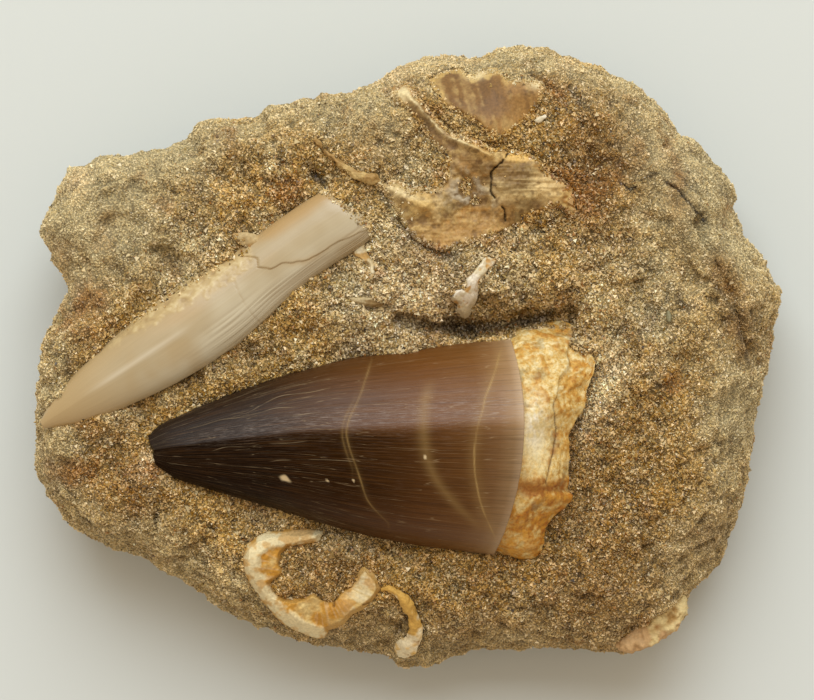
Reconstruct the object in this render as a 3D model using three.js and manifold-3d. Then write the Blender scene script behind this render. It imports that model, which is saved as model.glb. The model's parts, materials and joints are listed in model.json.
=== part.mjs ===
// A fossil mosasaur tooth in its block of phosphate sandstone, with the other fossils that lie in it.
//
// Millimetres, +Z up. The origin is the middle of the block's footprint, on the surface that the block
// lies on. +X runs from the mosasaur tooth's tip towards its root, and +Y towards the fish bone.
//
// Every fossil is its own closed solid. It is half sunk in the block, in a pocket of its own shape that
// is a little wider all round, as a fossil lies in the mould that the sand made of it.

import * as THREE from "three";
import { mergeVertices } from "three/addons/utils/BufferGeometryUtils.js";
import Module from "manifold-3d";

const wasm = await Module();
wasm.setup();

// ---------------------------------------------------------------- driving dimensions

const POCKET_GAP = 0.3; // between a fossil and its pocket in the sandstone
const TOP_HEIGHT = 25.2; // the block's top face at its middle
const TOP_FALL = 0.05; // rise of the top face per millimetre of y
const REST_SHARE = 0.52; // the flat spot's size, as a share of the block's outline

// The block's widest outline, seen from above, anticlockwise from the right.
const BLOCK_OUTLINE = [
  [51.5, 7.9], [49.7, 13.2], [46.9, 17.5], [45.3, 20.8], [45.8, 22.1], [43, 26.7], [39.3, 30.4],
  [38, 30.4], [34.5, 35.6], [31.6, 38.2], [26.2, 40.6], [20.8, 42.6], [18.1, 43.1], [14.1, 42.8],
  [9.3, 41.4], [5.6, 42], [1, 41.3], [-4, 38.7], [-8.6, 36.7], [-12.1, 36.4], [-16.9, 34.8],
  [-19.6, 34.6], [-21, 33.2], [-27.2, 33.1], [-31.6, 30.2], [-38.3, 28.5], [-45.3, 27.2],
  [-48.6, 23.5], [-50.6, 17.3], [-49.5, 14.8], [-47.5, 10.5], [-48.9, 4.9], [-50.6, 2.7],
  [-51.4, -2.2], [-51.7, -12], [-50.8, -18], [-48.6, -21.2], [-45.8, -24.3], [-37.9, -27],
  [-29.1, -32.3], [-25.4, -35.3], [-14.2, -39.9], [-2.9, -41.7], [-0.7, -43.1], [4.6, -42.6],
  [10.2, -41], [21.3, -40.5], [32.5, -40.8], [38.6, -36.3], [39.4, -33.2], [43.9, -27.5],
  [46.4, -19.7], [47.1, -15.1], [49, -5], [50.7, 3],
];

// How the block's edge rounds over, every 45 degrees from +X: the share of the outline where the top
// face ends and the shoulder begins, and the height of the widest line.
const SHOULDER_STARTS = [0.74, 0.78, 0.8, 0.84, 0.9, 0.78, 0.62, 0.7];
const RIM_HEIGHTS = [9, 10, 10.5, 11.5, 12, 9, 8, 8.5];

// Swells (+) and hollows (-) of the top face: middle, half length, half width, turn in degrees, height.
const SWELLS = [
  { at: [-7, -12], size: [27, 13], turn: 2, lift: -1.6 }, // the bed of the mosasaur tooth
  { at: [11, 4.7], size: [12, 2.2], turn: 7, lift: -2.6 }, // groove along the crown's upper side
  { at: [8.5, 10.5], size: [18, 4.5], turn: 5, lift: 1.2 }, // bank above that groove
  { at: [12.5, 17.2], size: [9, 2], turn: 3, lift: -1.3 }, // trough below the fish bone
  { at: [9.8, 26], size: [14, 10], turn: 0, lift: 1.3 }, // hump that carries the fish bone
  { at: [38.2, 10.5], size: [13, 2.2], turn: -54, lift: -2.2 }, // valley inside the right lip
  { at: [42.6, 14], size: [14, 2.8], turn: -54, lift: 1.4 }, // the right lip
  { at: [25.2, -19.2], size: [4, 6], turn: 0, lift: -1.8 }, // hollow beside the root
  { at: [32.6, -26.6], size: [7, 2.5], turn: 8, lift: -1.2 }, // hollow near the lower right
  { at: [-41.2, 19], size: [8, 7], turn: 0, lift: 1 }, // hump in the upper left corner
  { at: [-28, 14.6], size: [10, 2.2], turn: 30, lift: -1 }, // hollow along the fish fang
  { at: [-23.8, -1.5], size: [10, 2.2], turn: 28, lift: -0.7 }, // dip between fang and tooth
  { at: [-10.3, -23.6], size: [15, 2.4], turn: -12, lift: -1.2 }, // groove under the crown's lower side
  { at: [-11.5, -30], size: [5, 3.4], turn: -25, lift: -0.8 }, // the fill inside the ring bone
];

const TAU = 2 * Math.PI;
const toRadians = THREE.MathUtils.degToRad;

// ---------------------------------------------------------------- small helpers

// A smooth line through [position, value] pairs: cubic pieces with the slopes of the neighbours.
function smoothLine(pairs) {
  const slope = pairs.map((pair, i) => {
    const before = pairs[Math.max(i - 1, 0)];
    const after = pairs[Math.min(i + 1, pairs.length - 1)];
    return (after[1] - before[1]) / (after[0] - before[0]);
  });
  return (position) => {
    const x = THREE.MathUtils.clamp(position, pairs[0][0], pairs.at(-1)[0]);
    let i = 0;
    while (i < pairs.length - 2 && x > pairs[i + 1][0]) i += 1;
    const span = pairs[i + 1][0] - pairs[i][0];
    const t = (x - pairs[i][0]) / span;
    const keepStart = 2 * t ** 3 - 3 * t ** 2 + 1;
    const leaveStart = t ** 3 - 2 * t ** 2 + t;
    const reachEnd = t ** 3 - t ** 2;
    return keepStart * pairs[i][1] + (1 - keepStart) * pairs[i + 1][1]
      + span * (leaveStart * slope[i] + reachEnd * slope[i + 1]);
  };
}

// The same for pairs of [angle, value] that close on themselves after a full turn.
function smoothRound(pairs) {
  const sorted = [...pairs].sort((a, b) => a[0] - b[0]);
  const before = sorted.slice(-3).map(([angle, value]) => [angle - TAU, value]);
  const after = sorted.slice(0, 3).map(([angle, value]) => [angle + TAU, value]);
  const line = smoothLine([...before, ...sorted, ...after]);
  return (angle) => line(((angle % TAU) + TAU) % TAU);
}

// An outline given as points round [0, 0], as radius by angle.
const radiusByAngle = (points) =>
  smoothRound(points.map(([x, y]) => [(Math.atan2(y, x) + TAU) % TAU, Math.hypot(x, y)]));

// Values given every 45 degrees, as a smooth function of the angle.
const everyEighth = (values) => smoothRound(values.map((value, i) => [(i * TAU) / values.length, value]));

// A closed surface through rings of points, all with the same count, with a fan over each end.
function closedSurface(rings) {
  const sides = rings[0].length;
  const positions = [];
  const faces = [];
  const middle = (ring) => ring.reduce((sum, p) => sum.add(p), new THREE.Vector3()).divideScalar(sides);
  rings.flat().forEach((p) => positions.push(p.x, p.y, p.z));
  [middle(rings[0]), middle(rings.at(-1))].forEach((p) => positions.push(p.x, p.y, p.z));
  const startPole = rings.length * sides;
  const lastRing = (rings.length - 1) * sides;
  for (let j = 0; j < sides; j += 1) {
    const next = (j + 1) % sides;
    faces.push(startPole, j, next);
    faces.push(startPole + 1, lastRing + next, lastRing + j);
    for (let i = 0; i < rings.length - 1; i += 1) {
      const a = i * sides + j;
      const b = i * sides + next;
      faces.push(a, a + sides, b, b, a + sides, b + sides);
    }
  }
  return new THREE.BufferGeometry()
    .setAttribute("position", new THREE.Float32BufferAttribute(positions, 3))
    .setIndex(faces);
}

// A closed geometry as a solid, turned right side out.
function solidFrom(geometry) {
  const build = (triangles) => new wasm.Manifold(new wasm.Mesh({
    numProp: 3,
    vertProperties: new Float32Array(geometry.getAttribute("position").array),
    triVerts: triangles,
  }));
  const triangles = new Uint32Array(geometry.index.array);
  const made = build(triangles);
  if (made.volume() > 0) return made;
  for (let i = 0; i < triangles.length; i += 3) {
    [triangles[i + 1], triangles[i + 2]] = [triangles[i + 2], triangles[i + 1]];
  }
  return build(triangles);
}

// A solid as a geometry with flat faces.
function geometryFrom(solid) {
  const mesh = solid.getMesh();
  const geometry = new THREE.BufferGeometry()
    .setAttribute("position", new THREE.BufferAttribute(mesh.vertProperties, 3))
    .setIndex(new THREE.BufferAttribute(mesh.triVerts, 1))
    .toNonIndexed();
  geometry.computeVertexNormals();
  return geometry;
}

// A rounded bar along a path of [x, y, z, half width, half height] stations. Its section is an ellipse
// that lies flat, and grow makes the whole bar thicker.
function bar(stations, sides, grow = 0) {
  const points = stations.map(([x, y, z]) => new THREE.Vector3(x, y, z));
  const rings = stations.map(([, , , halfWidth, halfHeight], i) => {
    const ahead = points[Math.min(i + 1, points.length - 1)];
    const behind = points[Math.max(i - 1, 0)];
    const forward = ahead.clone().sub(behind).normalize();
    const across = new THREE.Vector3(-forward.y, forward.x, 0).normalize();
    const isStart = i === 0;
    const isEnd = i === points.length - 1;
    const pushed = points[i].clone().addScaledVector(forward, grow * (isEnd - isStart));
    return Array.from({ length: sides }, (_, j) => {
      const angle = (j / sides) * TAU;
      return pushed.clone()
        .addScaledVector(across, (halfWidth + grow) * Math.cos(angle))
        .add(new THREE.Vector3(0, 0, (halfHeight + grow) * Math.sin(angle)));
    });
  });
  return solidFrom(closedSurface(rings));
}

const unionOf = (solids) => solids.reduce((joined, solid) => joined.add(solid));

// ---------------------------------------------------------------- the block of sandstone

const blockRadius = radiusByAngle(BLOCK_OUTLINE);
const shoulderStart = everyEighth(SHOULDER_STARTS);
const rimHeight = everyEighth(RIM_HEIGHTS);

// One swell or hollow: a bell shape, longer one way and turned.
function swell({ at, size, turn, lift }, x, y) {
  const angle = toRadians(turn);
  const along = (x - at[0]) * Math.cos(angle) + (y - at[1]) * Math.sin(angle);
  const across = (y - at[1]) * Math.cos(angle) - (x - at[0]) * Math.sin(angle);
  return lift * Math.exp(-((along / size[0]) ** 2) - (across / size[1]) ** 2);
}

// Low uneven lumps, from a few crossing waves.
const lumps = (x, y) =>
  0.45 * Math.sin(0.31 * x + 0.13 * y + 0.6) * Math.cos(0.27 * y - 0.11 * x)
  + 0.3 * Math.sin(0.55 * x - 0.41 * y + 1.9)
  + 0.22 * Math.cos(0.83 * y + 0.47 * x + 0.4);

const topFace = (x, y) =>
  TOP_HEIGHT + TOP_FALL * y + lumps(x, y) + SWELLS.reduce((sum, one) => sum + swell(one, x, y), 0);

// Where the sand's surface is at [x, y], shoulder included.
function surfaceHeight(x, y) {
  const angle = Math.atan2(y, x);
  const share = Math.min(Math.hypot(x, y) / blockRadius(angle), 1);
  const start = shoulderStart(angle);
  const rim = rimHeight(angle);
  const down = Math.max(share - start, 0) / (1 - start);
  return rim + (topFace(x, y) - rim) * Math.sqrt(1 - down ** 2);
}

// Shares of a walk from the top's middle to the flat spot: top face, shoulder, underside, flat spot.
const WALK = { topEnds: 0.46, rimAt: 0.68, flatStarts: 0.84 };

// The point of the block's skin that a direction from the middle leads to. The direction's tilt from
// +Z sets how far the walk from the top's middle to the flat spot has gone.
function blockPoint(direction) {
  const angle = Math.atan2(direction.y, direction.x);
  const walked = Math.acos(THREE.MathUtils.clamp(direction.z, -1, 1)) / Math.PI;
  const start = shoulderStart(angle);
  const rim = rimHeight(angle);
  const at = (share) => [
    share * blockRadius(angle) * Math.cos(angle),
    share * blockRadius(angle) * Math.sin(angle),
  ];
  if (walked <= WALK.topEnds) {
    const [x, y] = at((start * walked) / WALK.topEnds);
    return new THREE.Vector3(x, y, topFace(x, y));
  }
  if (walked <= WALK.rimAt) {
    const turn = ((walked - WALK.topEnds) / (WALK.rimAt - WALK.topEnds)) * (Math.PI / 2);
    const [x, y] = at(start + (1 - start) * Math.sin(turn));
    return new THREE.Vector3(x, y, rim + (topFace(x, y) - rim) * Math.cos(turn));
  }
  if (walked <= WALK.flatStarts) {
    const turn = ((walked - WALK.rimAt) / (WALK.flatStarts - WALK.rimAt)) * (Math.PI / 2);
    const [x, y] = at(REST_SHARE + (1 - REST_SHARE) * Math.cos(turn));
    const bulge = 1 + 0.5 * lumps(2 * y, x) * Math.sin(turn) * Math.cos(turn);
    return new THREE.Vector3(x, y, rim * (1 - Math.sin(turn)) * bulge);
  }
  const [x, y] = at((REST_SHARE * (1 - walked)) / (1 - WALK.flatStarts));
  return new THREE.Vector3(x, y, 0);
}

function blockSolid(detail) {
  const ball = new THREE.IcosahedronGeometry(1, detail);
  ball.deleteAttribute("normal");
  ball.deleteAttribute("uv");
  const skin = mergeVertices(ball, 1e-5);
  const place = skin.getAttribute("position");
  for (let i = 0; i < place.count; i += 1) {
    const direction = new THREE.Vector3().fromBufferAttribute(place, i).normalize();
    place.setXYZ(i, ...blockPoint(direction).toArray());
  }
  return solidFrom(skin);
}

// ---------------------------------------------------------------- the mosasaur tooth

const CROWN = {
  tipX: -33.9,
  baseX: 15.3,
  tipZ: 23.4, // height of the axis at the tip
  baseZ: 21.2,
  roundness: 0.83, // half height over half width
  keelHeight: 0.08, // the cutting edge, as a share of the radius
  keelWidth: 0.3, // radians
};
const crownHalfWidth = smoothLine([[0, 2.3], [0.04, 3.7], [0.1, 4.9], [0.27, 7.7], [0.5, 11], [0.75, 13.3], [1, 14.8]]);
const crownAxisY = smoothLine([[0, -12.7], [0.2, -12], [0.4, -11.6], [0.7, -12], [1, -12.1]]);
const keelAngle = smoothLine([[0, 1.47], [1, 1.32]]);

// The crown's base and its worn tip are not square to the axis. Side runs from -1 to 1, upper edge at 1.
const crownBaseX = (side) => CROWN.baseX + 1.15 * side - 2.6 * side ** 2;
const crownTipX = (side) => CROWN.tipX - 0.6 * side;

// A blunt cone with one sharp keel along it.
function crownPoint(share, angle, grow) {
  const keel = 1 + CROWN.keelHeight * Math.exp(-Math.abs(angle - keelAngle(share)) / CROWN.keelWidth);
  const halfWidth = crownHalfWidth(share) * keel + grow;
  const halfHeight = crownHalfWidth(share) * CROWN.roundness * keel + grow;
  const side = Math.cos(angle);
  const x = THREE.MathUtils.lerp(crownTipX(side) - grow, crownBaseX(side) + grow, share);
  const z = THREE.MathUtils.lerp(CROWN.tipZ, CROWN.baseZ, share);
  return new THREE.Vector3(x, crownAxisY(share) + halfWidth * side, z + halfHeight * Math.sin(angle));
}

const ROOT = {
  startX: 9,
  axisY: -11.7,
  axisZ: 21.2,
  startWidth: 13.6, // half its width where it leaves the crown
  endWidth: 15.6,
  startHeight: 11.8, // half its height there
  endHeight: 5.5,
};

// Where the root is broken off, by side.
const rootEndX = smoothLine([
  [-1, 15.8], [-0.9, 18], [-0.72, 18.6], [-0.6, 20.2], [-0.47, 22.2], [-0.36, 21.8], [0, 21.8], [0.13, 21.9],
  [0.35, 24], [0.67, 25.8], [0.8, 24.9], [0.92, 23.8], [1, 21],
]);

// A ragged stump that goes on from the crown's base, a step lower than the enamel's edge.
function rootPoint(share, angle, grow) {
  const side = Math.cos(angle);
  const ragged = 1 + 0.035 * Math.sin(7 * angle + 9 * share) + 0.02 * Math.sin(13 * angle - 5 * share);
  const halfWidth = THREE.MathUtils.lerp(ROOT.startWidth, ROOT.endWidth, share);
  const halfHeight = THREE.MathUtils.lerp(ROOT.startHeight, ROOT.endHeight, share ** 2.6) * ragged;
  return new THREE.Vector3(
    THREE.MathUtils.lerp(ROOT.startX, rootEndX(side) + grow, share),
    ROOT.axisY + (halfWidth + grow) * side,
    ROOT.axisZ + (halfHeight + grow) * Math.sin(angle),
  );
}

// Rings of a tube whose skin is pointAt(share, angle, grow).
const tubeRings = (pointAt, shares, sides, grow) =>
  shares.map((share) => Array.from({ length: sides }, (_, j) => pointAt(share, (j / sides) * TAU, grow)));

const CROWN_SHARES = [0, 0.02, 0.06, 0.13, 0.21, 0.3, 0.4, 0.5, 0.6, 0.7, 0.8, 0.9, 1];
const ROOT_SHARES = [0, 0.45, 0.6, 0.75, 0.9, 1];

function mosasaurTooth(grow) {
  const crown = solidFrom(closedSurface(tubeRings(crownPoint, CROWN_SHARES, 24, grow)));
  const root = solidFrom(closedSurface(tubeRings(rootPoint, ROOT_SHARES, 24, grow)));
  return crown.add(root);
}

// ---------------------------------------------------------------- the fish fang

const FANG = {
  tip: [-49.2, -9.2],
  turn: 32.6, // degrees from +X
  length: 51,
  flatness: 0.62, // half height over half width
  endSlant: 1.3, // the base's upper corner lies nearer the tip than its lower corner
  fragmentStarts: 35.4, // millimetres from the tip
  fragmentStep: 0.6, // how far the base fragment has risen
};
const fangHalfWidth = smoothLine([
  [0, 0.45], [2, 1.4], [4.5, 2.3], [8.4, 3.4], [12, 3.95], [16, 4.55], [21, 5], [26, 5.1], [31, 4.9], [36, 4.5],
  [43, 4.3], [48, 4.1], [51, 3],
]);
const fangShift = smoothLine([[0, 0], [12, -0.25], [24, -0.1], [30, 0.15], [36, 0.85], [43, 1.5], [51, 1.5]]);
const fangAxisZ = smoothLine([[0, 22.9], [8, 23.5], [18, 24], [30, 24.4], [51, 25.4]]);
const fangKeel = smoothLine([[0, 0.16], [20, 0.1], [34, 0.02], [51, 0.02]]);

// The crack that parts the base fragment from the rest, as distance across the fang by distance along.
const fangCrack = smoothLine([[35.4, 1.3], [37.8, 0.8], [39.7, 0], [42.4, -0.6], [45.3, -1], [51, -1.1]]);

function fangPoint(share, angle, grow) {
  const along = share * FANG.length;
  const fromKeel = Math.abs(angle - Math.PI / 2);
  const keel = 1 + fangKeel(along) * Math.exp(-fromKeel / 0.35);
  const across = fangShift(along) + (fangHalfWidth(along) * keel + grow) * Math.cos(angle);
  const isFragment = along > FANG.fragmentStarts && across > fangCrack(along) && Math.sin(angle) > 0.1;
  const up = (fangHalfWidth(along) * FANG.flatness * keel + grow) * Math.sin(angle)
    + (isFragment ? FANG.fragmentStep : 0);
  const turn = toRadians(FANG.turn);
  const slant = FANG.endSlant * share ** 4 * Math.cos(angle);
  const reach = along - slant + grow * (2 * share - 1);
  return new THREE.Vector3(
    FANG.tip[0] + reach * Math.cos(turn) - across * Math.sin(turn),
    FANG.tip[1] + reach * Math.sin(turn) + across * Math.cos(turn),
    fangAxisZ(along) + up,
  );
}

const FANG_SHARES = [0, 0.02, 0.05, 0.1, 0.17, 0.25, 0.34, 0.43, 0.52, 0.61, 0.685, 0.705, 0.78, 0.86, 0.94, 0.98, 1];
const fishFang = (grow) => solidFrom(closedSurface(tubeRings(fangPoint, FANG_SHARES, 18, grow)));

// ---------------------------------------------------------------- the bones

// Stations of a bar laid on the sand: [x, y, half width, half height, height of its axis over the sand].
const laid = (stations) =>
  stations.map(([x, y, halfWidth, halfHeight, over]) => [
    x, y, surfaceHeight(x, y) + over, halfWidth, halfHeight,
  ]);

const FISH_BONE = {
  ridge: [
    [-1.8, 36, 0.8, 0.7, 0.3], [-0.8, 35.4, 1.6, 1.1, 0.6], [0.9, 34, 0.9, 1.3, 1], [2.7, 32.4, 0.65, 1.5, 1.1],
    [4.2, 30.5, 0.65, 1.6, 1.2], [5.7, 29.1, 0.9, 1.7, 1.2], [7.9, 28, 1.3, 1.8, 1.2], [10.4, 26.7, 1.8, 2, 1.1],
    [13.2, 25.7, 2, 2, 1.1], [16, 25.2, 1.8, 1.7, 0.9], [17.6, 25, 0.8, 0.8, 0.6],
  ],
  slope: [
    [-0.9, 33.8, 0.8, 0.7, 0], [1.4, 31.4, 1.1, 1.1, 0.2], [3.6, 28.7, 1.4, 1.4, 0.3], [6.6, 26.4, 1.9, 1.7, 0.5],
    [9.8, 24.6, 2.2, 1.8, 0.6],
  ],
  knuckle: [
    [8.8, 23.6, 1.6, 1.2, 0.5], [11.5, 23.2, 2.7, 2, 0.8], [15, 22.7, 2.8, 2.2, 0.9], [18, 22.2, 2.5, 2.1, 0.9],
    [20.6, 21.6, 1.9, 1.6, 0.7], [22.3, 20.6, 0.8, 0.8, 0.3],
  ],
  body: [
    [12, 22.6, 2.2, 1.4, 0.4], [9.8, 20.6, 4, 1.9, 0.5], [6.8, 18.8, 3.7, 2, 0.5], [4, 17.4, 2.5, 1.6, 0.3],
    [2.4, 16.6, 1, 0.8, 0],
  ],
  hook: [
    [-3.2, 22.6, 0.6, 0.6, 0.6], [-2.2, 21.4, 1.2, 1.2, 0.9], [0, 19.9, 2, 1.8, 1], [3, 18.9, 2.4, 1.9, 0.7],
    [6.6, 18.2, 2.4, 1.7, 0.4],
  ],
  apron: [[5, 16.2, 0.9, 0.9, 0.1], [8.5, 17.2, 1.7, 1.4, 0.3], [12.5, 18.4, 1.7, 1.3, 0.2], [15, 19.3, 0.9, 0.9, 0]],
};
const fishBone = (grow) => unionOf(Object.values(FISH_BONE).map((part) => bar(laid(part), 8, grow)));

// A thin plate of skull bone that lies almost flush with the sand, and domes a little.
const PLATE = {
  middle: [10.4, 34.4],
  thickness: 0.9, // how deep it goes under the sand
  edge: 0.35, // how far its edge stands over the sand
  dome: 0.5,
  outline: [
    [7.1, 0.6], [6.7, -1.4], [4.7, -3.4], [2.7, -4.8], [0.7, -4.1], [-0.6, -2.5], [-3, -1.2], [-5.3, 0.6],
    [-7.1, 1.9], [-7.3, 3.3], [-4, 4.5], [-2, 4.2], [0, 3.9], [2, 4.6], [3.4, 2.9], [6, 1.9],
  ],
};
const plateRadius = radiusByAngle(PLATE.outline);

function bonePlate(grow) {
  const ringAt = (share, isTop) => Array.from({ length: 24 }, (_, j) => {
    const angle = (j / 24) * TAU;
    const reach = plateRadius(angle) * share + grow;
    const x = PLATE.middle[0] + reach * Math.cos(angle);
    const y = PLATE.middle[1] + reach * Math.sin(angle);
    const lift = isTop ? PLATE.edge + PLATE.dome * (1 - share ** 2) + grow : -PLATE.thickness - grow;
    return new THREE.Vector3(x, y, surfaceHeight(x, y) + lift);
  });
  return solidFrom(closedSurface([
    ringAt(0.35, false), ringAt(0.75, false), ringAt(1, false),
    ringAt(1, true), ringAt(0.75, true), ringAt(0.35, true),
  ]));
}

// A band whose outer edge stands up as a rim and whose inner side slopes down, like the broken cup of a
// vertebra. Its stations are [outer x, outer y, inner x, inner y].
function cupBand(stations, rimRise, depth, grow) {
  const rings = stations.map(([outerX, outerY, innerX, innerY], i) => {
    const outer = new THREE.Vector2(outerX, outerY);
    const inner = new THREE.Vector2(innerX, innerY);
    const across = inner.clone().sub(outer);
    const wide = across.length();
    across.normalize();
    const along = new THREE.Vector2(across.y, -across.x);
    const push = grow * ((i === stations.length - 1) - (i === 0));
    const ends = i === 0 || i === stations.length - 1 ? 0.45 : 1;
    // Distance in from the outer edge, as a share of the width, and height over the sand there.
    const section = [[0, -depth], [0, 0.4 * rimRise * ends], [0.12, rimRise * ends], [0.3, 0.85 * rimRise * ends],
      [0.65, 0.4 * rimRise * ends], [1, 0.1], [1, -depth]];
    return section.map(([share, rise], k) => {
      const outward = grow * (share < 0.1 ? -1 : share > 0.9 ? 1 : 0);
      const place = outer.clone().addScaledVector(across, share * wide + outward).addScaledVector(along, push);
      const isBottom = k === 0 || k === section.length - 1;
      return new THREE.Vector3(place.x, place.y, surfaceHeight(place.x, place.y) + rise + (isBottom ? -grow : grow));
    });
  });
  return solidFrom(closedSurface(rings));
}

const RING_BONE = [
  [-11.3, -24.2, -11.8, -24.9], [-14, -23.8, -13.6, -25.2], [-17.4, -23.9, -15.4, -26.2],
  [-20.6, -24.9, -16.6, -27.3], [-22, -27.5, -16.9, -28.6], [-21.4, -30.2, -17.8, -30.1],
  [-19.9, -33.1, -18.6, -31.6], [-17.9, -35.8, -16.8, -33.1], [-15.4, -37.7, -14.6, -32.8],
  [-12.6, -39, -12.8, -32.6], [-10.9, -37.9, -11.5, -33.3], [-8.5, -36.9, -9.9, -32.7],
  [-6.4, -35, -8.3, -31.5], [-4.7, -33.2, -7.2, -30.6], [-3.9, -31.2, -6.3, -29.7], [-4.5, -29.6, -5.6, -29],
];
const ringBone = (grow) => cupBand(RING_BONE, 1.5, 2, grow);

const CRESCENT_BONE = [
  [-3.4, -32, 0.5, 0.7, 0], [-1.8, -32.2, 0.7, 1, 0.1], [-0.5, -33.6, 0.7, 1.1, 0.2], [0.4, -35.3, 0.8, 1.2, 0.2],
  [0.9, -37.4, 1, 1.3, 0.2], [0.8, -39.2, 1.1, 1.3, 0.1], [0, -40.9, 1.1, 1.2, -0.1], [-1, -42, 0.7, 0.9, -0.5],
];
const RIM_BONE = [
  [28.9, -39.6, 0.8, 0.9, -0.4], [31.2, -38.9, 1.7, 1.6, -0.5], [33.6, -37.7, 2.2, 1.9, -0.4],
  [35.8, -36.3, 2.2, 1.9, -0.3], [37.3, -35, 1.7, 1.6, -0.3], [38.2, -34, 0.8, 1, -0.3],
];
const BONE_STRIP = [
  [-12.5, 29.2, 0.4, 0.5, 0], [-11, 27.3, 0.6, 0.9, 0.1], [-9, 25.5, 0.8, 1, 0.1], [-7, 24.3, 0.8, 1, 0.1],
  [-4.9, 23.6, 0.7, 0.9, 0.1], [-3.9, 23.4, 0.4, 0.5, 0],
];
const WHITE_SLIVER = [
  [11.4, 13, 0.5, 0.6, 0.1], [10.3, 12, 0.7, 0.8, 0.2], [9.2, 10, 0.6, 0.8, 0.2], [8.5, 8.4, 0.7, 0.8, 0.2],
  [7.9, 7, 0.5, 0.6, 0.1],
];
const FORKED_SLIVER = [[-6.5, 14.1, 0.7, 0.6, 0], [-5.8, 13, 0.5, 0.6, 0.1], [-5, 11.3, 0.35, 0.5, 0]];
const FLAT_SLIVER = [[-8.4, 8.1, 0.4, 0.5, 0], [-6, 7.6, 0.6, 0.6, 0], [-3.5, 7.3, 0.4, 0.5, 0]];
const SHELL_CHIP = [[16.9, 31.5, 0.4, 0.4, 0], [17.9, 32, 0.7, 0.6, 0.1], [18.9, 32.4, 0.4, 0.4, 0]];

const laidBar = (stations, sides) => (grow) => bar(laid(stations), sides, grow);

// ---------------------------------------------------------------- the assembly

const material = (color, roughness) => new THREE.MeshStandardMaterial({ color, roughness, metalness: 0 });

const SANDSTONE = material("#a08a5e", 0.95);
const ENAMEL = material("#4a362d", 0.35);
const FANG_ENAMEL = material("#c2ab88", 0.4);
const BROWN_BONE = material("#a98752", 0.7);
const CREAM_BONE = material("#ddc088", 0.75);
const WHITE_BONE = material("#e2d5bb", 0.75);

// Each fossil: its node's name, its shape as a function of how much it is grown, and its material.
const FOSSILS = [
  ["mosasaur_tooth", mosasaurTooth, ENAMEL],
  ["fish_fang", fishFang, FANG_ENAMEL],
  ["fish_bone", fishBone, BROWN_BONE],
  ["bone_plate", bonePlate, BROWN_BONE],
  ["ring_bone", ringBone, CREAM_BONE],
  ["crescent_bone", laidBar(CRESCENT_BONE, 8), CREAM_BONE],
  ["rim_bone", laidBar(RIM_BONE, 10), CREAM_BONE],
  ["bone_strip", laidBar(BONE_STRIP, 8), BROWN_BONE],
  ["white_sliver", laidBar(WHITE_SLIVER, 8), WHITE_BONE],
  ["forked_sliver", laidBar(FORKED_SLIVER, 6), WHITE_BONE],
  ["flat_sliver", laidBar(FLAT_SLIVER, 6), WHITE_BONE],
  ["shell_chip", laidBar(SHELL_CHIP, 6), WHITE_BONE],
];
const BLOCK_DETAIL = 11;

function named(name, solid, finish) {
  const mesh = new THREE.Mesh(geometryFrom(solid), finish);
  mesh.name = name;
  return mesh;
}

const pockets = FOSSILS.map(([, shape]) => shape(POCKET_GAP));
const block = pockets.reduce((left, pocket) => left.subtract(pocket), blockSolid(BLOCK_DETAIL));

const specimen = new THREE.Group();
specimen.add(named("matrix_block", block, SANDSTONE));
FOSSILS.forEach(([name, shape, finish]) => specimen.add(named(name, shape(0), finish)));

export default specimen;
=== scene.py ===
# %% [markdown]
# # A fossil mosasaur tooth in its block of sandstone
#
# The object is a loose block of phosphate sandstone, about ten centimetres long. A mosasaur's tooth lies
# half sunk in it, with its broken root. Beside it lie a fish's fang and several bits of bone. Someone
# brushed the soft sandstone away until the fossils stood free.
#
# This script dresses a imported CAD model. Every fossil in the model is a plain closed solid, and the script
# replaces each with a surface that has the detail of the real one. All sizes here are millimetres, and one
# helper turns them into Blender's metres when it makes a mesh.

import json

import bpy
import numpy as np
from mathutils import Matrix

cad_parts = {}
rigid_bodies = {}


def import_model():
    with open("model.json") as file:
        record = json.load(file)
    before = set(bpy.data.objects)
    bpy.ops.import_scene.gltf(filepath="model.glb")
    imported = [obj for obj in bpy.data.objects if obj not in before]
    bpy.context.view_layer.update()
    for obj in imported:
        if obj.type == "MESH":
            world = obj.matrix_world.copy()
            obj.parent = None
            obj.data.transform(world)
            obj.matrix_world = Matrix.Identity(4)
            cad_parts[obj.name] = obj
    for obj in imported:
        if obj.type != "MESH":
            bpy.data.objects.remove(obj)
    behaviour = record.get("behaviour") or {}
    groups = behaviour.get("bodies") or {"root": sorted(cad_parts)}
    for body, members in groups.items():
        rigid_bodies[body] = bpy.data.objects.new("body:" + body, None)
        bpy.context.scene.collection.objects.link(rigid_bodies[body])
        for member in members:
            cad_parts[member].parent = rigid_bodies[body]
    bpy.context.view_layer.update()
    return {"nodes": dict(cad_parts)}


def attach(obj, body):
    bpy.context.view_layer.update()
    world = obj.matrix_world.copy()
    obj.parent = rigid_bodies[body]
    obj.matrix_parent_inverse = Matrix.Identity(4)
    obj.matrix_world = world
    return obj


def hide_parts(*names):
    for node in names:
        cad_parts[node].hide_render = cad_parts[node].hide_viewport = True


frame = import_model()
MM = 0.001  # one millimetre in Blender's metres
TURN = 2 * np.pi
print("nodes:", sorted(frame["nodes"]))

# %% [markdown]
# ## Camera, floor and light
#
# A specimen like this is shown from straight above, on white paper, under one large soft window.
# The camera stands 430 mm over the paper and looks straight down. A lens that long keeps the block's walls
# from showing. The window is a large, slightly blue area lamp a metre away, beyond the block's far side, and
# the room is a warm, weaker world. Most of the light comes from one side, and that is what makes grains,
# cracks and the tooth's keel show, and the warm room fills the shadows.

# %% The camera
CAMERA_HEIGHT = 430
CAMERA_Y = 0.9
LENS = 133.3  # the frame is 36 mm wide behind it, so the view is 15.4 degrees wide


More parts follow.
